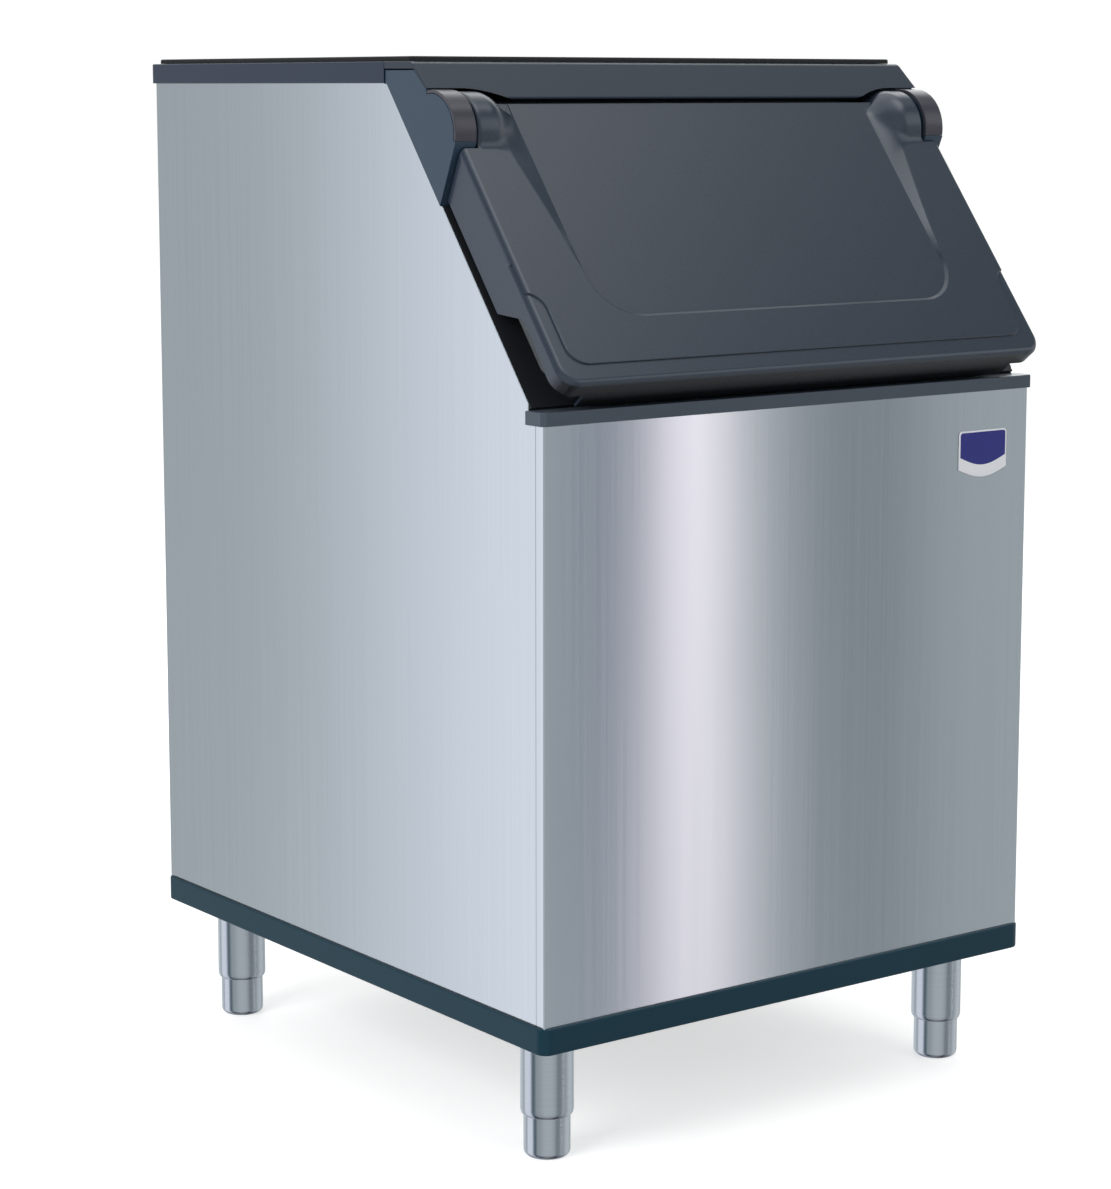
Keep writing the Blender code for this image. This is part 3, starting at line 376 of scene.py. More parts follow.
def turned(name, profile, centre=(0, 0, 0), along_x=False, sides=64):
    """A turned form from radii and heights, about Z, or about X, where a height is an x."""
    bm = bmesh.new()
    rows = []
    for radius, height in profile:
        ring = []
        for k in range(sides if radius else 1):
            turn = math.tau * k / sides
            u, v = radius * math.cos(turn), radius * math.sin(turn)
            spot = Vector((height, u, v)) if along_x else Vector((u, v, height))
            ring.append(bm.verts.new(spot + Vector(centre)))
        rows.append(ring)
    if profile[0][0] > 0:
        rows.append(rows[0])
    for a, b in zip(rows, rows[1:]):
        for k in range(sides):
            n = (k + 1) % sides
            corners = dict.fromkeys([a[k % len(a)], a[n % len(a)], b[n % len(b)], b[k % len(b)]])
            if len(corners) > 2:
                bm.faces.new(list(corners))
    return add_mesh(name, bm)


def hinge_turned(name, profile, sides=64):
    """A turned form about the hinge axis."""
    return turned(name, profile, (0, HINGE_Y, HINGE_Z), True, sides)


def settle(obj):
    """Applies an object's modifiers to its mesh."""
    graph = bpy.context.evaluated_depsgraph_get()
    mesh = bpy.data.meshes.new_from_object(obj.evaluated_get(graph))
    obj.modifiers.clear()
    obj.data = mesh


def split_faces(mesh):
    """Splits a mesh's faces into triangles, which keeps the Booleans exact."""
    bm = bmesh.new()
    bm.from_mesh(mesh)
    bm.normal_update()
    bmesh.ops.triangulate(bm, faces=bm.faces)
    bm.to_mesh(mesh)
    bm.free()


def combine(obj, operation, tools):
    """Applies one Boolean with all the tools together, and takes them out of the scene."""
    split_faces(obj.data)
    group = bpy.data.collections.new("tools")
    bpy.context.scene.collection.children.link(group)
    for tool in tools:
        group.objects.link(tool)
    made = obj.modifiers.new("tools", "BOOLEAN")
    made.operation = operation
    made.solver = "EXACT"
    made.operand_type = "COLLECTION"
    made.collection = group
    settle(obj)
    for tool in tools:
        bpy.data.objects.remove(tool, do_unlink=True)
    bpy.data.collections.remove(group)
    return obj


def cut(obj, *tools):
    """Takes the tools' shapes away."""
    return combine(obj, "DIFFERENCE", tools)


def join(obj, *tools):
    """Adds the tools' shapes."""
    return combine(obj, "UNION", tools)


def round_edges(obj, width, segments, angle):
    """Rounds the edges that are sharper than an angle in degrees."""
    bevel = obj.modifiers.new("edges", "BEVEL")
    bevel.width = width
    bevel.segments = segments
    bevel.limit_method = "ANGLE"
    bevel.angle_limit = math.radians(angle)
    bevel.miter_outer = "MITER_ARC"
    settle(obj)


SAME_PLACE = 1e-6
SHARP_DEG = 32


def dress(obj, material, body, slot, *nodes):
    """Smooths a piece, gives it its material, and says what it rides on and stands for."""
    mesh = obj.data
    bm = bmesh.new()
    bm.from_mesh(mesh)
    bmesh.ops.remove_doubles(bm, verts=bm.verts, dist=SAME_PLACE)
    bmesh.ops.dissolve_degenerate(bm, edges=bm.edges, dist=SAME_PLACE)
    bm.to_mesh(mesh)
    bm.free()
    mesh.materials.clear()
    mesh.materials.append(material)
    mesh.shade_smooth()
    mesh.set_sharp_from_angle(angle=math.radians(SHARP_DEG))
    weighted = obj.modifiers.new("normals", "WEIGHTED_NORMAL")
    weighted.keep_sharp = True
    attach(obj, body)
    if nodes:
        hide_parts(*nodes)


# Materials.
class Nodes:
    """Short ways to build a node tree."""

    def __init__(self, tree):
        self.tree = tree

    def wire(self, source, socket):
        """Links a socket to another one, or gives it a plain value."""
        if isinstance(source, bpy.types.NodeSocket):
            self.tree.links.new(source, socket)
        else:
            socket.default_value = source

    def node(self, kind, inputs, output, **settings):
        """A new node, with some of its inputs given by name or number. Returns one of its outputs."""
        made = self.tree.nodes.new("ShaderNode" + kind)
        for key, value in settings.items():
            setattr(made, key, value)
        for key, source in inputs.items():
            self.wire(source, made.inputs[key])
        return made.outputs[output]

    def maths(self, operation, *sources):
        return self.node("Math", dict(enumerate(sources)), "Value", operation=operation)

    def spread(self, source, low, high, start=0.2, end=0.8):
        """A smooth change from low to high while the source goes from start to end."""
        inputs = {"Value": source, "From Min": start, "From Max": end, "To Min": low, "To Max": high}
        return self.node("MapRange", inputs, "Result", interpolation_type="SMOOTHSTEP")


class Look(Nodes):
    """A material being built."""

    def __init__(self, name, roughness, metallic=0.0, **fixed):
        self.material = bpy.data.materials.new(name)
        self.material.use_nodes = True
        super().__init__(self.material.node_tree)
        self.shader = self.tree.nodes["Principled BSDF"]
        for socket, value in {"Roughness": roughness, "Metallic": metallic, **fixed}.items():
            self.shader.inputs[socket.replace("_", " ")].default_value = value
        self.place = self.node("TexCoord", {}, "Object")

    def noise(self, scale, detail=2.0, stretch=(1, 1, 1)):
        place = self.node("Mapping", {"Vector": self.place, "Scale": stretch}, "Vector")
        return self.node("TexNoise", {"Vector": place, "Scale": scale, "Detail": detail}, "Fac")

    def tint(self, source, colour, amount):
        """A colour varied in lightness by a noise."""
        made = self.tree.nodes.new("ShaderNodeValToRGB")
        made.color_ramp.interpolation = "EASE"
        stops = ((0.20, 1 - amount), (0.80, 1 + amount))
        for element, (position, share) in zip(made.color_ramp.elements, stops):
            element.position = position
            element.color = [*(min(1, c * share) for c in colour), 1]
        self.wire(source, made.inputs["Fac"])
        return made.outputs["Color"]

    def blend(self, kind, factor, a, b):
        inputs = {"Factor": factor, "A": a, "B": b}
        return self.node("Mix", inputs, "Result", data_type="RGBA", blend_type=kind)

    def done(self, tone, gloss, height, depth):
        """Gives the shader its colour, roughness and height, with a depth in metres. Returns the material."""
        normal = self.node("Bump", {"Strength": 1.0, "Distance": depth, "Height": height}, "Normal")
        for key, source in (("Base Color", tone), ("Roughness", gloss), ("Normal", normal)):
            self.wire(source, self.shader.inputs[key])
        return self.material


WHITE = (1, 1, 1)
# A near-black for painted shade, laid on faces that point away from the light.
PAINTED_SHADE_COLOUR = (0.0035, 0.004, 0.005)


def satin(name, roughness, drawn_out):
    """A metal whose gloss is drawn out one way by its finish."""
    look = Look(name, roughness, 1.0, Anisotropic=drawn_out, Anisotropic_Rotation=0.25)
    tangent = look.node("Tangent", {}, "Tangent", direction_type="RADIAL", axis="Z")
    look.wire(tangent, look.shader.inputs["Tangent"])
    return look


def brushed_sheet(name, colour, roughness, drawn_out):
    """Satin steel: fine upright streaks, a slow drift of tone, and gloss drawn out along the height."""
    look = satin(name, roughness, drawn_out)
    streak = (300, 300, 1.5)
    fine = look.noise(1.0, 3.0, streak)
    broad = look.noise(1.0, 2.0, [s / 12 for s in streak])
    tone = look.blend("MULTIPLY", 1.0, look.tint(fine, colour, 0.020), look.tint(broad, WHITE, 0.010))
    gloss = look.spread(fine, roughness * 0.95, roughness * 1.06)
    return look.done(tone, gloss, look.noise(2.2, 1.0), 0.00025)


def tube_steel(name, colour, roughness):
    """Satin tube: fine rings round it, which change its tone and gloss."""
    look = satin(name, roughness, 0.6)
    rings = look.noise(1.0, 2.0, (6, 6, 700))
    gloss = look.spread(rings, roughness * 0.92, roughness * 1.1)
    return look.done(look.tint(rings, colour, 0.04), gloss, rings, 0.000002)


def galvanised(name, colour):
    """Zinc-coated sheet: spangle of slightly different greys."""
    look = Look(name, 0.42, 1.0)
    cells = look.node("TexVoronoi", {"Vector": look.place, "Scale": 140}, "Color")
    grey = look.node("RGBToBW", {"Color": cells}, "Val")
    gloss = look.spread(grey, 0.36, 0.50)
    return look.done(look.tint(grey, colour, 0.10), gloss, look.noise(35), 0.00006)


def moulding(name, colour, roughness, grain=0.000004, shift=0.025, specular=0.5, under=None):
    """Moulded plastic: a fine grain, a slow drift of tone, and specks that change tone and gloss a little.
    Faces that point the way that under says, in the piece's own axes, get painted shade: their colour is
    blended towards a near-black."""
    look = Look(name, roughness, 0.0, Specular_IOR_Level=specular)
    drift = look.noise(5.0, 3.0)
    specks = look.noise(700.0)
    tone = look.blend("MULTIPLY", 1.0, look.tint(drift, colour, shift), look.tint(specks, WHITE, 0.03))
    if under is not None:
        # Painted shade: the colour goes dark on faces that point the given way, as if they lay in shadow.
        normal = look.node("TexCoord", {}, "Normal")
        facing = look.node("VectorMath", {0: normal, 1: under}, "Value", operation="DOT_PRODUCT")
        share = look.spread(facing, 0.0, 1.0, 0.02, 0.70)
        tone = look.blend("MIX", share, tone, look.tint(specks, PAINTED_SHADE_COLOUR, 0.1))
    gloss = look.spread(specks, roughness * 0.97, roughness * 1.03)
    return look.done(tone, gloss, look.noise(800.0), grain)


STEEL = brushed_sheet("look_brushed_steel", (0.42, 0.45, 0.48), 0.13, 0.88)
LEG = tube_steel("look_leg_steel", (0.365, 0.39, 0.425), 0.24)
ZINC = galvanised("look_galvanised", (0.42, 0.44, 0.46))
TRIM = moulding("look_trim", (0.012, 0.021, 0.044), 0.34, specular=0.22)
CHEEK = moulding("look_cheek", (0.024, 0.045, 0.074), 0.32, specular=0.28)
INNER = moulding("look_inner_trim", (0.019, 0.021, 0.025), 0.42, specular=0.3)
BASE = moulding("look_base_trim", (0.009, 0.038, 0.058), 0.40, specular=0.11)
RAIL = moulding("look_rail", (0.054, 0.071, 0.094), 0.34, specular=0.28)
HOOD = moulding("look_hood", (0.018, 0.027, 0.043), 0.30, specular=0.23)
# The way that the door's lower edge faces, down the door and back: shade is painted on the faces that point
# this way.
DOOR_PAINTED_SHADE_WAY = DOOR_AXES.to_3x3() @ Vector((0, -0.74, -0.67))
DOOR = moulding("look_door", (0.023, 0.033, 0.051), 0.28, specular=0.4, under=DOOR_PAINTED_SHADE_WAY)
KNUCKLE = moulding("look_knuckle", (0.042, 0.040, 0.053), 0.30, specular=0.34)
RUBBER = moulding("look_rubber", (0.012, 0.012, 0.013), 0.75, 0.00006, 0.10, 0.3)
LINER = moulding("look_liner", (0.62, 0.66, 0.68), 0.34, 0.00002, 0.02)
FOAM = moulding("look_foam", (0.75, 0.66, 0.42), 0.9, 0.0003, 0.06, 0.1)
NYLON = moulding("look_nylon", (0.70, 0.70, 0.66), 0.45)
DRAIN = moulding("look_drain", (0.020, 0.020, 0.022), 0.45)
ENAMEL = moulding("look_badge_field", (0.013, 0.015, 0.19), 0.18, 0.000004, 0.06, 0.4)
BRIGHT = moulding("look_badge_rim", (0.78, 0.79, 0.83), 0.24, 0.000004, 0.02)

# Parts of the frame that stay as they are, with materials of their own.
KEPT = {"base_pan": ZINC, "rear_panel": ZINC, "insulation": FOAM, "drain_fitting": DRAIN, "drain_nut": DRAIN}
for side, _ in SIDES:
    KEPT[side + "_hinge_pin"] = LEG
    KEPT[side + "_hinge_bush"] = NYLON
for corner in CORNERS:
    KEPT["leg_plate_" + corner] = ZINC
for node, material in KEPT.items():
    for material_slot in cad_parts[node].material_slots:
        material_slot.link = "OBJECT"
        material_slot.material = material


# Base tray, legs and feet.
def drain_hole(level):
    """The tool for the drain's hole, past a level both ways."""
    high, low = level + FAR, level - FAR
    profile = [(0, high), (DRAIN_HOLE, high), (DRAIN_HOLE, low), (0, low)]
    return turned("drain_hole", profile, (0, TUB_REAR - DRAIN_TO_REAR, 0))


def make_base():
    outline = rectangle((-TRIM_X, TRIM_X), (TRIM_FRONT, TRIM_REAR), BASE_CORNER, steps=14)
    tray = solid("seen_base_trim", outline, eased(base_low.z, base_high.z, *BASE_EDGES))
    room = STEEL_X + FIT
    ends = (TRIM_FRONT + BASE_WALL - FIT, TRIM_REAR - BASE_WALL + FIT)
    web_top = base_high.z - BASE_LAP
    rim = block("rim_room", (-room, room), ends, (web_top, base_high.z + FAR))
    under_x = TRIM_X - BASE_SKIRT
    under = block(
        "under_room",
        (-under_x, under_x),
        (TRIM_FRONT + BASE_SKIRT, TRIM_REAR - BASE_SKIRT),
        (base_low.z - FAR, web_top - BASE_WEB),
    )
    dress(cut(tray, rim, under, drain_hole(web_top)), BASE, "cabinet", "base_moulding", "base_trim")


def make_legs():
    for corner in CORNERS:
        low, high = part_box("leg_sleeve_" + corner)
        at = ((low.x + high.x) / 2, (low.y + high.y) / 2, 0)
        bore = FOOT_RADIUS + FIT
        neck = [
            (SLEEVE_RADIUS - NECK_IN * along, low.z + NECK_UP * left) for along, left in quarter(1, 6)
        ]
        profile = [(SLEEVE_RADIUS, high.z), *neck, (bore, low.z), (bore, high.z)]
        sleeve = turned("seen_leg_sleeve_" + corner, profile, at)
        dress(sleeve, LEG, "cabinet", "leg_steel", "leg_sleeve_" + corner)
        tail = [(0, FOOT_TOP), (FOOT_TAIL_RADIUS, FOOT_TOP), (FOOT_RADIUS, FOOT_TOP - FOOT_TAIL)]
        arc = [(FOOT_RADIUS - along, left) for along, left in quarter(FOOT_EDGE, 8)]
        foot = turned("seen_foot_" + corner, [*tail, *arc, (0, 0)], at)
        dress(foot, LEG, corner + "_foot", "leg_steel", "foot_" + corner)


# Steel skins.
def make_skins():
    seam = STEEL_FRONT + FRONT_RETURN
    shelf_z = PANEL_TOP - FIT
    pocket = TOP_FRONT + TOP_LIP + FIT
    outline = [
        (STEEL_REAR, STEEL_BOTTOM),
        (seam + FIT, STEEL_BOTTOM),
        (seam + FIT, shelf_z),
        (slope_point(SLOPE_LENGTH, 0)[0], shelf_z),
        slope_point(SLOPE_LENGTH, 0),
        (SLOPE_TOP_Y, SLOPE_TOP_Z - FIT),
        (pocket, SLOPE_TOP_Z - FIT),
        (pocket, STEEL_TOP),
        (STEEL_REAR, STEEL_TOP),
    ]
    inner = STEEL_X - SHEET
    for side, sign in SIDES:
        profile = mirrored(eased(inner, STEEL_X, 0, STEEL_EDGE), sign)
        panel = solid(f"seen_{side}_side_panel", outline, profile, "side")
        dress(panel, STEEL, "cabinet", "brushed_steel", side + "_side_panel")
    corner = STEEL_CORNER
    points = [
        (-STEEL_X, seam),
        (-STEEL_X, STEEL_FRONT),
        (STEEL_X, STEEL_FRONT),
        (STEEL_X, seam),
        (inner, seam),
        (inner, STEEL_FRONT + SHEET),
        (-inner, STEEL_FRONT + SHEET),
        (-inner, seam),
    ]
    radii = [STEEL_EDGE, corner, corner, STEEL_EDGE, 0, corner - SHEET, corner - SHEET, 0]
    panel = solid("seen_front_panel", rounded(points, radii, 6), [(0, STEEL_BOTTOM), (0, PANEL_TOP)])
    dress(panel, STEEL, "cabinet", "brushed_steel", "front_panel")


# Tub, access frame, rail and top.
def swing_room():
    """The tool for the room that the ears swing in."""
    x = EAR_X + SWING_GAP / 2
    radius = EAR_RADIUS + SWING_GAP
    return hinge_turned("swing_room", [(0, x), (radius, x), (radius, -x), (0, -x)])


def tub_outline(inset, top, out):
    """The tub from the side, up to a level, and cut off along the slope at a distance in front of it."""
    front, rear, bottom = TUB_FRONT + inset, TUB_REAR - inset, TUB_BOTTOM + inset
    return [
        (rear, bottom),
        (front, bottom),
        (front, slope_z(front, out)),
        (slope_y(top, out), top),
        (rear, top),
    ]


def make_tub():
    outline = tub_outline(0, STEEL_TOP, -FRAME_DEPTH - FIT)
    liner = solid("seen_liner", outline, [(0, -TUB_X), (0, TUB_X)], "side")
    outline = tub_outline(LINER_WALL, STEEL_TOP + FAR, FAR)
    cavity = solid("cavity", outline, [(0, -CAVITY_X), (0, CAVITY_X)], "side")
    round_edges(cavity, CAVITY_CORNER, 6, 30)
    tools = [cavity, swing_room(), drain_hole(TUB_BOTTOM)]
    dress(cut(liner, *tools), LINER, "cabinet", "liner_plastic", "liner")


def make_access_frame():
    """The frame round the access opening, and the rail below it."""
    bottom_end = SLOPE_LENGTH + FRAME_PAST_SLOPE
    outer = rectangle((-INSIDE_X, INSIDE_X), (-bottom_end, -FRAME_TOP_END))
    piece = solid("seen_access_frame", outer, eased(-FRAME_DEPTH, 0, 0, FRAME_EDGE), "slope")
    opening = rectangle(
        (-CAVITY_X, CAVITY_X), (-bottom_end + FRAME_BOTTOM_BAR, -FRAME_TOP_END - FRAME_TOP_BAR), FRAME_CORNER
    )
    tool = solid("frame_opening", opening, flared(-FRAME_DEPTH, 0, FRAME_FLARE), "slope")
    dress(cut(piece, tool, swing_room()), INNER, "cabinet", "trim_moulding", "access_frame")

    corners = [(-TRIM_X, RAIL_REAR), (-TRIM_X, TRIM_FRONT), (TRIM_X, TRIM_FRONT), (TRIM_X, RAIL_REAR)]
    outline = rounded(corners, [0, RAIL_CHAMFER, RAIL_CHAMFER, 0], 1)
    rail = solid("seen_front_rail", outline, eased(rail_low.z, RAIL_TOP, *RAIL_EDGES))
    room = block(
        "rail_room",
        (-STEEL_X - FIT, STEEL_X + FIT),
        (STEEL_FRONT - FIT, RAIL_REAR + FAR),
        (rail_low.z - FAR, RAIL_TOP - RAIL_TOP_SHEET),
    )
    dress(cut(rail, room), RAIL, "cabinet", "trim_moulding", "front_rail")


def make_top():
    """The top trim, and the gasket strip on it."""
    outer = rectangle((-TRIM_X, TRIM_X), (TOP_FRONT, TRIM_REAR), 0, TOP_CORNER, 6)
    top = solid("seen_top_trim", outer, eased(TOP_BOTTOM, TOP_LEVEL, *TOP_EDGES))
    opening = rectangle((-CAVITY_X, CAVITY_X), (TOP_FRONT + TOP_BAR, TUB_REAR - LINER_WALL), FRAME_CORNER)
    tool = solid("top_opening", opening, flared(TOP_BOTTOM, TOP_LEVEL, TOP_FLARE))
    room = block(
        "top_room",
        (-STEEL_X - FIT, STEEL_X + FIT),
        (TOP_FRONT + TOP_LIP, STEEL_REAR + FIT),
        (TOP_BOTTOM - FAR, TOP_LEVEL - TOP_WEB),
    )
    dress(cut(top, tool, room), TRIM, "cabinet", "trim_moulding", "top_trim")

    low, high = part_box("top_gasket")
    width, corner = 0.018, 0.0004
    outer = rectangle((low.x, high.x), (low.y, high.y), width / 2)
    inner_x, inner_y = (low.x + width, high.x - width), (low.y + width, high.y - width)
    inner = rectangle(inner_x, inner_y, corner)
    edge = quarter(0.0022, 4)
    rings = [
        (outer, 0, low.z),
        *[(outer, along, high.z - left) for along, left in edge],
        *[(inner, -along, high.z - left) for along, left in reversed(edge)],
        (inner, 0, low.z),
    ]
    gasket = loft(
        "seen_top_gasket",
        [[(u, v, level) for u, v in inset_outline(outline, inset)] for outline, inset, level in rings],
        loop=True,
    )
    dress(gasket, RUBBER, "cabinet", "gasket_rubber", "top_gasket")


# Hood, cheeks and knuckle covers.
HOOD_SLANT = math.hypot(HOOD_DEPTH, HOOD_DROP)
HOOD_BEND = TOP_FRONT - HOOD_FLAT
HOOD_UNDER = TOP_LEVEL - HOOD_WALL


def hood_y(z, behind):
    """The y at a height of the line at a distance behind the hood's slanted face."""
    return HOOD_BEND - (TOP_LEVEL - z) * HOOD_DEPTH / HOOD_DROP + behind * HOOD_SLANT / HOOD_DROP


def scallop_profile():
    """The radius of the hollow over an ear along X: full beside the knuckle, then a long easy fall."""
    steps = 24
    outside = TRIM_X + FAR
    low = PANEL_LEVEL + SCALLOP_GAP
    high = EAR_RADIUS + SCALLOP_GAP
    flat = EAR_X - EAR_WIDTH + SCALLOP_WIDER
    fall = [
        (low + (high - low) * (1 + math.cos(math.pi * k / steps)) / 2, flat - SCALLOP_FALL * k / steps)
        for k in range(steps + 1)
    ]
    return [(0, outside), (high, outside), *fall, (0, flat - SCALLOP_FALL)]


def make_hood():
    lip = (HOOD_BEND - HOOD_DEPTH, TOP_LEVEL - HOOD_DROP)
    lip_inner = (
        lip[0] + HOOD_SKIRT * HOOD_DROP / HOOD_SLANT,
        lip[1] - HOOD_SKIRT * HOOD_DEPTH / HOOD_SLANT,
    )
    corners = [
        (TOP_FRONT - FIT, TOP_LEVEL),
        (HOOD_BEND, TOP_LEVEL),
        lip,
        lip_inner,
        (hood_y(HOOD_UNDER, HOOD_SKIRT), HOOD_UNDER),
        (TOP_FRONT - FIT, HOOD_UNDER),
    ]
    outline = rounded(corners, [0, HOOD_BEND_RADIUS, HOOD_SKIRT / 2, 0, HOOD_NOSE, 0], 8)
    hood = solid("seen_hood", outline, eased(-TRIM_X, TRIM_X, HOOD_EDGE, HOOD_EDGE, 3), "side")
    tools = [hinge_turned(side + "_scallop", mirrored(scallop_profile(), sign), 96) for side, sign in SIDES]
    dress(cut(hood, *tools), HOOD, "cabinet", "door_moulding", "hood")


SHOULDER_LENGTH = math.hypot(SHOULDER_SETBACK, DOOR_FACE_OUT + DOOR_BACK_IN)
SHOULDER_ALONG = (SHOULDER_SETBACK / SHOULDER_LENGTH, -(DOOR_FACE_OUT + DOOR_BACK_IN) / SHOULDER_LENGTH)
SHOULDER_OFF = (-SHOULDER_ALONG[1], SHOULDER_ALONG[0])


def shoulder_point(out, off):
    """How far below the hinge axis the shoulder's line is at a distance out from it, moved off by a gap."""
    base = (SHOULDER_DOWN + SHOULDER_OFF[0] * off, DOOR_FACE_OUT + SHOULDER_OFF[1] * off)
    return base[0] + (out - base[1]) * SHOULDER_ALONG[0] / SHOULDER_ALONG[1]


def hood_meets(radius, behind):
    """Where the line behind the hood's slanted face meets a circle round the hinge axis."""
    y, z = hood_y(TOP_LEVEL, behind) - HINGE_Y, TOP_LEVEL - HINGE_Z
    along = (y * HOOD_DEPTH + z * HOOD_DROP) / HOOD_SLANT
    reach = math.sqrt(along**2 - (y**2 + z**2 - radius**2)) - along
    return (
        HINGE_Y + y + reach * HOOD_DEPTH / HOOD_SLANT,
        HINGE_Z + z + reach * HOOD_DROP / HOOD_SLANT,
    )


def make_cheeks():
    under_hood = hood_meets(KNUCKLE_RADIUS + SWING_GAP - FIT, HOOD_SKIRT + SEAM)
    low = math.radians(KNUCKLE_LOW_DEG)
    local = DOOR_AXES.inverted() @ Vector((0, *under_hood))
    high = math.atan2(local.z, -local.y) - FIT / KNUCKLE_RADIUS
    nib = math.radians(KNUCKLE_LOW_DEG - KNUCKLE_NIB_DEG)
    inner = KNUCKLE_RADIUS - KNUCKLE_WALL
    seat = inner - FIT
    ease = FIT / inner
    steps = 40
    turns = [high + ease + (low - high - 2 * ease) * k / steps for k in range(steps + 1)]
    foot_down = shoulder_point(FIT - HINGE_OUT, -SHOULDER_GAP)
    cheek_outline = [
        (TOP_FRONT - FIT, SLOPE_TOP_Z),
        (TOP_FRONT - FIT, HOOD_UNDER - SEAM),
        (hood_y(HOOD_UNDER - SEAM, HOOD_SKIRT + SEAM), HOOD_UNDER - SEAM),
        under_hood,
        *[hinge_point(seat, turn) for turn in turns],
        hinge_point(KNUCKLE_RADIUS, low - ease),
        hinge_point(KNUCKLE_RADIUS, nib),
        slope_point(HINGE_DOWN + foot_down, FIT),
        (slope_y(SLOPE_TOP_Z, FIT), SLOPE_TOP_Z),
    ]
    radii = [HOOD_NOSE if k == 2 else 0 for k in range(len(cheek_outline))]
    cheek_outline = rounded(cheek_outline, radii, 6)
    turns = between(high, low, steps)
    cover_outline = [hinge_point(KNUCKLE_RADIUS, turn) for turn in turns]
    cover_outline += [hinge_point(inner, turn) for turn in reversed(turns)]
    for side, sign in SIDES:
        profile = mirrored(eased(CHEEK_INNER_X, CHEEK_X, *CHEEK_EDGES, 3), sign)
        cheek = solid(f"seen_{side}_cheek", cheek_outline, profile, "side")
        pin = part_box(side + "_hinge_pin")
        reach = max(abs(pin[0].x), abs(pin[1].x)) + FIT
        bore = (pin_high.z - pin_low.z) / 2 + FIT
        socket = [(0, reach), (bore, reach), (bore, CHEEK_INNER_X - FAR), (0, CHEEK_INNER_X - FAR)]
        tool = hinge_turned("socket", mirrored(socket, sign))
        dress(cut(cheek, tool), CHEEK, "cabinet", "trim_moulding", side + "_cheek")
        profile = mirrored(eased(CHEEK_INNER_X, CHEEK_X, *COVER_EDGES), sign)
        cover = solid(f"seen_{side}_knuckle_cover", cover_outline, profile, "side")
        dress(cover, KNUCKLE, "cabinet", "knuckle_moulding", side + "_knuckle_cover")


# Door.
def door_outline(inset):
    """The door from in front."""
    half, low, high = DOOR_X - inset, -DOOR_REACH + inset, DOOR_TOP - inset
    return rectangle((-half, half), (low, high), DOOR_CORNER - inset, 0, 12)


def door_form(name, inset):
    """The door's outer form or, with an inset, the hollow in it, drawn out past the door's back."""
    face = DOOR_FACE_OUT - (inset + PANEL_DEPTH if inset else 0)
    behind = -DOOR_BACK_IN - FAR
    edge = DOOR_EDGE - inset
    form = solid(name, door_outline(inset), eased(behind, face, 0, edge, 8), "door")
    above = DOOR_FACE_OUT + FAR
    wedge = [
        (-shoulder_point(above, inset), above),
        (-shoulder_point(behind - FIT, inset), behind - FIT),
        (2 * FAR, behind - FIT),
        (2 * FAR, above),
    ]
    tools = [
        door_prism(f"{name}_{side}_wedge", wedge, sign * (EAR_X - inset), sign * (DOOR_X + FAR))
        for side, sign in SIDES
    ]
    return cut(form, *tools)


def door_prism(name, outline, first, last):
    """An outline of door Y and Z drawn along X."""
    rings = [[DOOR_AXES @ Vector((x, v, w)) for v, w in outline] for x in sorted((first, last))]
    return loft(name, rings)


PANEL_LOW = -DOOR_REACH + PANEL_UP
BAND_START = PANEL_LOW + PANEL_CORNER + 0.0035
BAND_END = -0.056
BAND_NARROW = 0.003
BAND_WIDE = 0.028
BAND_LOW_EXTRA = 0.0015


def held(share):
    """A share held between 0 and 1."""
    return max(0.0, min(1.0, share))


def band_width(y):
    """The width of the slope beside the panel: it widens up the door until it runs into the ear."""
    share = held((y - BAND_START) / (BAND_END - BAND_START))
    return BAND_NARROW + (BAND_WIDE - BAND_NARROW) * share**1.25


def panel_room():
    """The sunken panel's room, with a narrow slope round it."""
    base = rectangle((-PANEL_X, PANEL_X), (PANEL_LOW, DOOR_TOP + FAR), PANEL_CORNER, 0, 20)
    outer = inset_outline(base, -1)
    rings = []
    for share in (0, 1, 1.1):
        ring = []
        for (x, y), (ox, oy) in zip(base, outer):
            width = BAND_NARROW + BAND_LOW_EXTRA * held((PANEL_LOW + PANEL_CORNER - y) / PANEL_CORNER)
            ring.append((x + (ox - x) * width * share, y + (oy - y) * width * share))
        rings.append((ring, PANEL_LEVEL + PANEL_DEPTH * share))
    rings.append((rings[-1][0], DOOR_FACE_OUT + FAR))
    put = PLANES["door"]
    return loft("panel_room", [[put(x, y, level) for x, y in ring] for ring, level in rings], triangles=True)


# Steps of an ear: up the face, round the hollow and over the barrel, and across the slope and the ear.
FACE_STEPS = 36
HOLLOW_STEPS = 14
BARREL_STEPS = 48
ACROSS_STEPS = 16
# An ear stands a hair proud of the face, so that the two can be joined.
EAR_PROUD = 0.00005
EAR_UNDER = 0.0002
EAR_INSIDE = PANEL_LEVEL - 0.0035
EAR_LEAST = 2e-5
# Along X from the panel: where an ear starts to rise, over what width, and over what width its foot narrows.
RISE_START = 0.001
RISE_LENGTH = 0.045
SPREAD_LENGTH = 0.054
# How far its foot reaches down the face, how much further beside the panel, and its hollow's least radius.
FOOT_REACH = 0.0456
FOOT_SPREAD = 0.040
LEAST_FILLET = 0.008


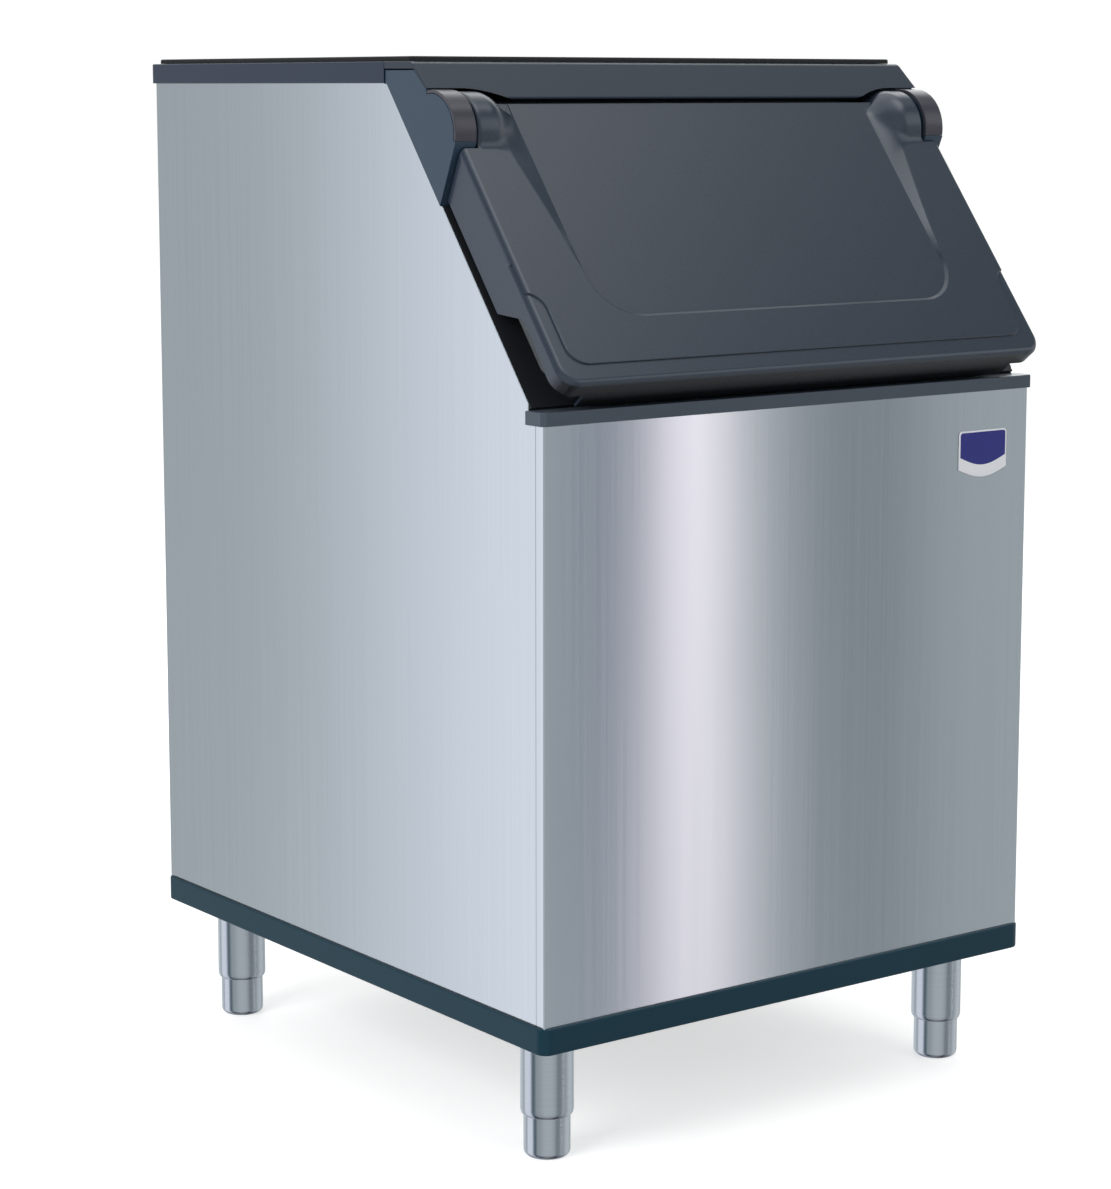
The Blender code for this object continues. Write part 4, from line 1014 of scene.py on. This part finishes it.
def ear_section(radius, level, fillet):
    """The ear cut across: up the face, round a hollow on to the barrel, over it and back inside."""
    reach = math.sqrt((radius - level) * (radius + level + 2 * fillet))
    low = BAND_START + EAR_UNDER
    points = [(y, level) for y in between(low, -reach, FACE_STEPS)[:-1]]
    last = math.atan2(-(level + fillet), reach)
    for turn in between(-math.pi / 2, last, HOLLOW_STEPS):
        points.append((-reach + fillet * math.cos(turn), level + fillet + fillet * math.sin(turn)))
    first = math.atan2(level + fillet, -reach)
    last = -math.pi - math.asin(EAR_INSIDE / radius)
    for turn in between(first, last, BARREL_STEPS)[1:]:
        points.append((radius * math.cos(turn), radius * math.sin(turn)))
    return points + [(low, EAR_INSIDE)]


def ear_form(name, sign):
    """An ear: a barrel beside the knuckle that flows down into the face and the slope beside the panel."""
    wide_x = PANEL_X + BAND_WIDE
    stations = [(PANEL_X - 0.0005, 0)]
    stations += [(PANEL_X + BAND_WIDE * k / ACROSS_STEPS, 0) for k in range(ACROSS_STEPS + 1)]
    stations += [(x, 0) for x in between(wide_x, EAR_X - EAR_EDGE, ACROSS_STEPS)[1:]]
    stations += [(EAR_X - left, along) for along, left in quarter(EAR_EDGE, 6, 1)]
    rings = []
    for k, (x, shrink) in enumerate(stations):
        share = held((x - PANEL_X) / BAND_WIDE)
        level = PANEL_LEVEL + PANEL_DEPTH * share + EAR_PROUD * min(1, 4 * share)
        climb = held((x - PANEL_X - RISE_START) / RISE_LENGTH)
        radius = level + (EAR_RADIUS - level) * (1 - math.cos(math.pi * climb)) / 2
        radius = max(radius, level + EAR_LEAST)
        foot = FOOT_REACH + FOOT_SPREAD * (max(0.0, PANEL_X + SPREAD_LENGTH - x) / SPREAD_LENGTH) ** 2
        fillet = max(LEAST_FILLET, (foot**2 / (radius - level) - radius - level) / 2)
        if k == 0:
            level, radius = level - EAR_UNDER, radius - EAR_UNDER
        ring = []
        for y, z in ear_section(radius - shrink, level, fillet):
            width = band_width(y)
            if x <= wide_x:
                at = PANEL_X + (x - PANEL_X) * (width / BAND_WIDE if x > PANEL_X else 1)
            else:
                ridge = PANEL_X + width
                at = ridge + (EAR_X + EAR_PROUD - ridge) * (x - wide_x) / (EAR_X - wide_x)
            ring.append(PLANES["door"](sign * at, y, z))
        rings.append(ring)
    return loft(name, rings, triangles=True)


# The step from the rim up to the raised face, in millimetres: how far in, and how far above the rim.
RIM_STEP = [(-1.0, -0.5), (-1.0, 0), (-0.45, 0.1), (-0.1, 0.45), (0, 0.9)]
RIM_STEP += [(0.1, 1.5), (0.4, 2.0), (0.85, 2.35), (1.35, 2.6), (1.35, 40)]
# The rim's rounded edge is cut by a form this much larger than the door.
RIM_CLEAR = 0.0004


def rim_room():
    """What is taken off outside the raised face: a step down to the rim, and the rim's own rounded edge."""
    far_x = DOOR_X + FAR
    raised_x = DOOR_X - RIM_SIDE
    low = -DOOR_REACH + RIM_LOW
    start = -DOOR_REACH + RIM_START
    bend = -DOOR_REACH + RIM_BEND
    points = [
        (-far_x, start),
        (-raised_x, bend),
        (-raised_x, low),
        (raised_x, low),
        (raised_x, bend),
        (far_x, start),
        (far_x, 3 * FAR),
        (-far_x, 3 * FAR),
    ]
    raised = rounded(points, [0, RIM_SIDE, DOOR_CORNER, DOOR_CORNER, RIM_SIDE, 0, 0, 0], 12)
    level = DOOR_FACE_OUT - RIM_DEPTH
    mesa = solid("mesa", raised, [(inset / 1000, level + up / 1000) for inset, up in RIM_STEP], "door")
    profile = eased(level - FAR, level, 0, DOOR_EDGE + RIM_CLEAR, 9)
    low_form = solid("low_form", door_outline(-RIM_CLEAR), profile, "door")
    slab_x = (-far_x + 0.005, far_x - 0.005)
    slab_z = (level - 0.02, level + FAR)
    slab = block("slab", slab_x, (-DOOR_REACH - FAR, start + 0.02), slab_z, "door")
    return cut(slab, low_form, mesa)


def make_door():
    shell = door_form("seen_door_shell", 0)
    hollow = door_form("hollow", DOOR_WALL)
    far_x = DOOR_X + FAR
    far_low = -DOOR_REACH - FAR
    behind = -DOOR_BACK_IN - FAR
    back_z = (-DOOR_BACK_IN - 2 * FAR, -DOOR_BACK_IN)
    back = block("door_back", (-far_x, far_x), (far_low, 2 * FAR), back_z, "door")
    low_y = (far_low, -DOOR_REACH + 2 * DOOR_WALL)
    low_back = block("door_low_back", (-far_x, far_x), low_y, (behind, DOOR_FACE_OUT - DOOR_LOW_LIP), "door")
    grip_start = -DOOR_REACH + GRIP_START
    corners = [
        (grip_start, behind),
        (grip_start, -DOOR_BACK_IN),
        (grip_start - GRIP_RAMP, DOOR_FACE_OUT - GRIP_LIP),
        (far_low, DOOR_FACE_OUT - GRIP_LIP_END),
        (far_low, behind),
    ]
    grip = rounded(corners, [0, 0.004, GRIP_CORNER, 0, 0], 8)
    tools = [hollow, back, low_back, rim_room(), panel_room()]
    ears, bores = [], []
    for side, sign in SIDES:
        # A trench under the slope beside the panel, which the ear then fills.
        ends = sorted((sign * (PANEL_X - 0.0001), sign * (PANEL_X + BAND_WIDE + 0.002)))
        trench = ends, (BAND_START + 0.0005, 2 * FAR), (PANEL_LEVEL - 0.0008, 2 * FAR)
        tools += [
            block(side + "_trench", *trench, "door"),
            door_prism(side + "_grip", grip, sign * (TRAY_X + FIT), sign * far_x),
        ]
        ears.append(ear_form(side + "_ear", sign))
        outer, end = EAR_X + FAR, EAR_X - SOCKET_DEPTH
        bore = [(0, outer), (SOCKET_RADIUS, outer), (SOCKET_RADIUS, end), (0, end)]
        bores.append(hinge_turned(side + "_bore", mirrored(bore, sign)))
    cut(shell, *tools)
    join(shell, *ears)
    cut(shell, *bores)
    dress(shell, DOOR, "door", "door_moulding", "door_shell")

    back_level = TRAY_OUT - HINGE_OUT
    front_level = DOOR_FACE_OUT - PANEL_DEPTH - DOOR_WALL - FIT
    low = -DOOR_REACH + TRAY_END_GAP
    outline = rectangle((-TRAY_X, TRAY_X), (low, -TRAY_TOP), TRAY_CORNER)
    tray = solid("seen_door_inner_panel", outline, eased(back_level, front_level, TRAY_EDGE, 0, 5), "door")
    wall = TRAY_WALL
    inner = rectangle((-TRAY_X + wall, TRAY_X - wall), (low + wall, -TRAY_TOP - wall), TRAY_CORNER - wall)
    room = solid("tray_room", inner, [(0, back_level + wall), (0, front_level + FAR)], "door")
    dress(cut(tray, room), INNER, "door", "trim_moulding", "door_inner_panel")


# Small fittings.
def make_bumpers():
    half_y, out, corner, edge = 0.007, 0.004, 0.003, 0.0012
    for side, _ in SIDES:
        low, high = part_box(side + "_bumper")
        centre = SLOPE_AXES.inverted() @ ((low + high) / 2)
        half_x = (high.x - low.x) / 2
        x, y = (centre.x - half_x, centre.x + half_x), (centre.y - half_y, centre.y + half_y)
        outline = rectangle(x, y, corner, steps=5)
        pad = solid(f"seen_{side}_bumper", outline, eased(FIT, out - FIT, 0, edge), "slope")
        dress(pad, RUBBER, "cabinet", "gasket_rubber", side + "_bumper")


def badge_outline(left, right, low, top, corner):
    """Round upper corners, and a lower edge that is bowed down."""
    bow, steps = 0.0105, 24
    lower = [
        (left + (right - left) * k / steps, low + bow * (1 - math.sin(math.pi * k / steps)))
        for k in range(steps + 1)
    ]
    return rounded([(right, top), (left, top), *lower], [corner, corner] + [0] * len(lower), 8)


def make_badge():
    """A plain plate with a rim, and a plain field of another colour let into it."""
    rim, band, depth, gap = 0.0020, 0.0150, 0.0004, 0.00002
    low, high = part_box("badge_plate")
    outline = badge_outline(low.x, high.x, low.z, high.z, 0.005)
    plate = solid("seen_badge_rim", outline, eased(-high.y, -low.y, 0, 0.0005), "front")
    for vertex in plate.data.vertices:
        vertex.co.y = -vertex.co.y
    field = badge_outline(low.x + rim, high.x - rim, low.z + band, high.z - rim, 0.0035)
    floor = low.y + depth
    pocket = solid("pocket", field, [(0, low.y - FAR), (0, floor)], "front")
    dress(cut(plate, pocket), BRIGHT, "cabinet", "badge_plastic", "badge_plate")
    levels = [(gap, floor + gap), (gap, low.y + 0.0001)]
    enamel = solid("seen_badge_field", field, levels, "front")
    dress(enamel, ENAMEL, "cabinet", "badge_plastic")


def make_screws():
    """Pan-head screws that hold the rear sheet."""
    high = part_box("rear_panel")[1]
    radius, rim, rise, inset = 0.0042, 0.0006, 0.0018, 0.012
    spots = [(sign * (high.x - inset), z) for _, sign in SIDES for z in (0.21, 0.46, 0.72, 0.97, 1.22)]
    spots += [(x, z) for x in (-0.18, 0.0, 0.18) for z in (0.20, 1.235)]
    dome = [(radius * math.sin(t), rim + rise * math.cos(t)) for t in between(0, math.pi / 2, 5)]
    length, width, height = (-0.0022, 0.0022), (-0.0004, 0.0004), (0.0014, 0.01)
    for k, (x, z) in enumerate(spots):
        head = turned("seen_rear_screw_%d" % (k + 1), [*dome, (radius, 0), (0, 0)], sides=24)
        slot = join(block("slot", length, width, height), block("slot", width, length, height))
        cut(head, slot)
        head.data.transform(Matrix.Translation((x, high.y, z)) @ Matrix.Rotation(-math.pi / 2, 4, "X"))
        dress(head, ZINC, "cabinet", "galvanised_steel")


make_base()
make_legs()
make_skins()
make_tub()
make_access_frame()
make_top()
make_hood()
make_cheeks()
make_door()
make_bumpers()
make_badge()
make_screws()


# Floor, light and camera. The floor's extra light for the camera, and the world's light on matt surfaces:
FLOOR_LIFT = 0.60
DIFFUSE_LEVEL = 0.50


def make_floor():
    """A wide plain floor, which looks whiter to the camera than the light alone would make it."""
    mesh = bpy.data.meshes.new("floor")
    half = 30
    corners = [(-half, -half, 0), (half, -half, 0), (half, half, 0), (-half, half, 0)]
    mesh.from_pydata(corners, [], [(0, 1, 2, 3)])
    floor = add_object("floor", mesh)
    floor.visible_glossy = False
    look = Look("look_floor", 0.9)
    look.shader.inputs["Base Color"].default_value = (0.80, 0.80, 0.80, 1)
    camera_ray = look.node("LightPath", {}, "Is Camera Ray")
    lift = look.node("Emission", {"Strength": look.spread(camera_ray, 0, FLOOR_LIFT, 0, 1)}, "Emission")
    both = look.node("AddShader", {0: look.shader.outputs["BSDF"], 1: lift}, "Shader")
    look.wire(both, look.tree.nodes["Material Output"].inputs["Surface"])
    mesh.materials.append(look.material)


# What shiny surfaces see of the studio: soft boxes and dark cards. Each has a compass angle from the front
# towards +X, a half width, a fade at its sides, the lowest and highest angle above the floor, a fade there,
# and how much it adds. All angles are in degrees.
ROOM_LEVEL = (0.69, 0.745, 0.755)
ROOM_CARDS = [
    (-127, 16.4, 6.6, -90, 45, 15, (0.82, 0.80, 0.88)),
    (-75, 22, 14, 26, 62, 8, (-0.40, -0.38, -0.36)),
    (-98, 6, 8, -90, 18, 8, (-0.52, -0.50, -0.46)),
    (-32, 10, 34, -90, 18, 8, (0.24, 0.23, 0.23)),
    (18, 6, 11, -90, 18, 8, (-0.26, -0.27, -0.25)),
    (78, 8, 18, -90, 12, 8, (0.36, 0.35, 0.36)),
    (39.31, 0.34, 0.44, -90, 30, 12, (2.42, 2.01, 2.06)),
    (42.42, 0.61, 1.10, -90, 30, 12, (-0.333, -0.34, -0.33)),
    (37.77, 0.32, 0.90, -90, 30, 12, (-0.44, -0.44, -0.36)),
    (78, 28, 14, 28, 44.5, 3.5, (-0.46, -0.46, -0.44)),
    (40, 30, 18, 53, 100, 7, (2.25, 2.25, 2.30)),
    (0, 181, 1, 62, 100, 8, (1.20, 1.20, 1.25)),
    (134, 14, 12, 6, 44, 8, (1.50, 1.50, 1.50)),
    (44, 16, 10, 12, 32, 6, (1.10, 1.15, 1.20)),
    (0, 181, 1, -90, -48, 14, (-0.50, -0.54, -0.54)),
    (165, 25, 20, -90, 60, 15, (0.35, 0.36, 0.38)),
]


def make_world():
    """White to the camera, a plain level to matt surfaces, and the soft boxes and cards to shiny ones."""
    world = bpy.data.worlds.new("studio")
    bpy.context.scene.world = world
    world.use_nodes = True
    world.node_tree.nodes.clear()
    nodes = Nodes(world.node_tree)
    maths = nodes.maths
    direction = nodes.node("TexCoord", {}, "Generated")
    x, y, z = (nodes.node("SeparateXYZ", {"Vector": direction}, axis) for axis in "XYZ")
    degree = math.degrees(1)
    compass = maths("MULTIPLY", maths("ARCTAN2", x, maths("MULTIPLY", y, -1)), degree)
    height = maths("MULTIPLY", maths("ARCSINE", z), degree)
    seen = ROOM_LEVEL
    for centre, half, fade, low, high, fade_up, adds in ROOM_CARDS:
        turned_by = maths("WRAP", maths("SUBTRACT", compass, centre), 180, -180)
        across = nodes.spread(maths("ABSOLUTE", turned_by), 1, 0, half, half + fade)
        middle, reach = (low + high) / 2, (high - low) / 2
        off = maths("ABSOLUTE", maths("SUBTRACT", height, middle))
        share = maths("MULTIPLY", across, nodes.spread(off, 1, 0, reach, reach + fade_up))
        seen = nodes.node("VectorMath", {0: share, 1: adds, 2: seen}, "Vector", operation="MULTIPLY_ADD")

    def background(colour, strength=1.0):
        return nodes.node("Background", {"Color": colour, "Strength": strength}, "Background")

    def mix(ray, other, hit):
        """One light for the rays of a kind, and another for the rest."""
        return nodes.node("MixShader", {0: nodes.node("LightPath", {}, ray), 1: other, 2: hit}, "Shader")

    white = (*WHITE, 1)
    lit = mix("Is Camera Ray", background(white, DIFFUSE_LEVEL), background(white))
    lit = mix("Is Glossy Ray", lit, background(seen))
    nodes.wire(lit, nodes.tree.nodes.new("ShaderNodeOutputWorld").inputs["Surface"])


LAMP_SIZE = 2.4
LAMP_AIM = Vector((0, 0, 0.7))


def add_lamp(name, place, power):
    lamp = bpy.data.lights.new(name, "AREA")
    lamp.shape = "SQUARE"
    lamp.size = LAMP_SIZE
    lamp.energy = power
    obj = add_object(name, lamp)
    obj.location = place
    obj.rotation_euler = (LAMP_AIM - Vector(place)).to_track_quat("-Z", "Y").to_euler()
    obj.visible_glossy = False
    obj.visible_camera = False


def make_light():
    make_world()
    add_lamp("key", (-4.2, -0.9, 2.6), 105)
    add_lamp("fill", (1.2, -4.2, 2.2), 30)
    add_lamp("back", (2.2, 3.4, 3.0), 60)


CAMERA_PLACE = (-2.35372, -3.09324, 1.24547)
CAMERA_YAW = 0.6397
CAMERA_PITCH = 0.14702
CAMERA_LENS = 91.77
CAMERA_SHIFT = -0.05


def make_camera():
    data = bpy.data.cameras.new("camera")
    data.lens = CAMERA_LENS
    data.sensor_width = 36
    data.shift_y = CAMERA_SHIFT
    data.clip_end = 100
    camera = add_object("camera", data)
    camera.location = CAMERA_PLACE
    camera.rotation_euler = (math.pi / 2 - CAMERA_PITCH, 0, -CAMERA_YAW)
    bpy.context.scene.camera = camera


make_floor()
make_light()
make_camera()
bpy.context.scene.view_settings.view_transform = "Standard"
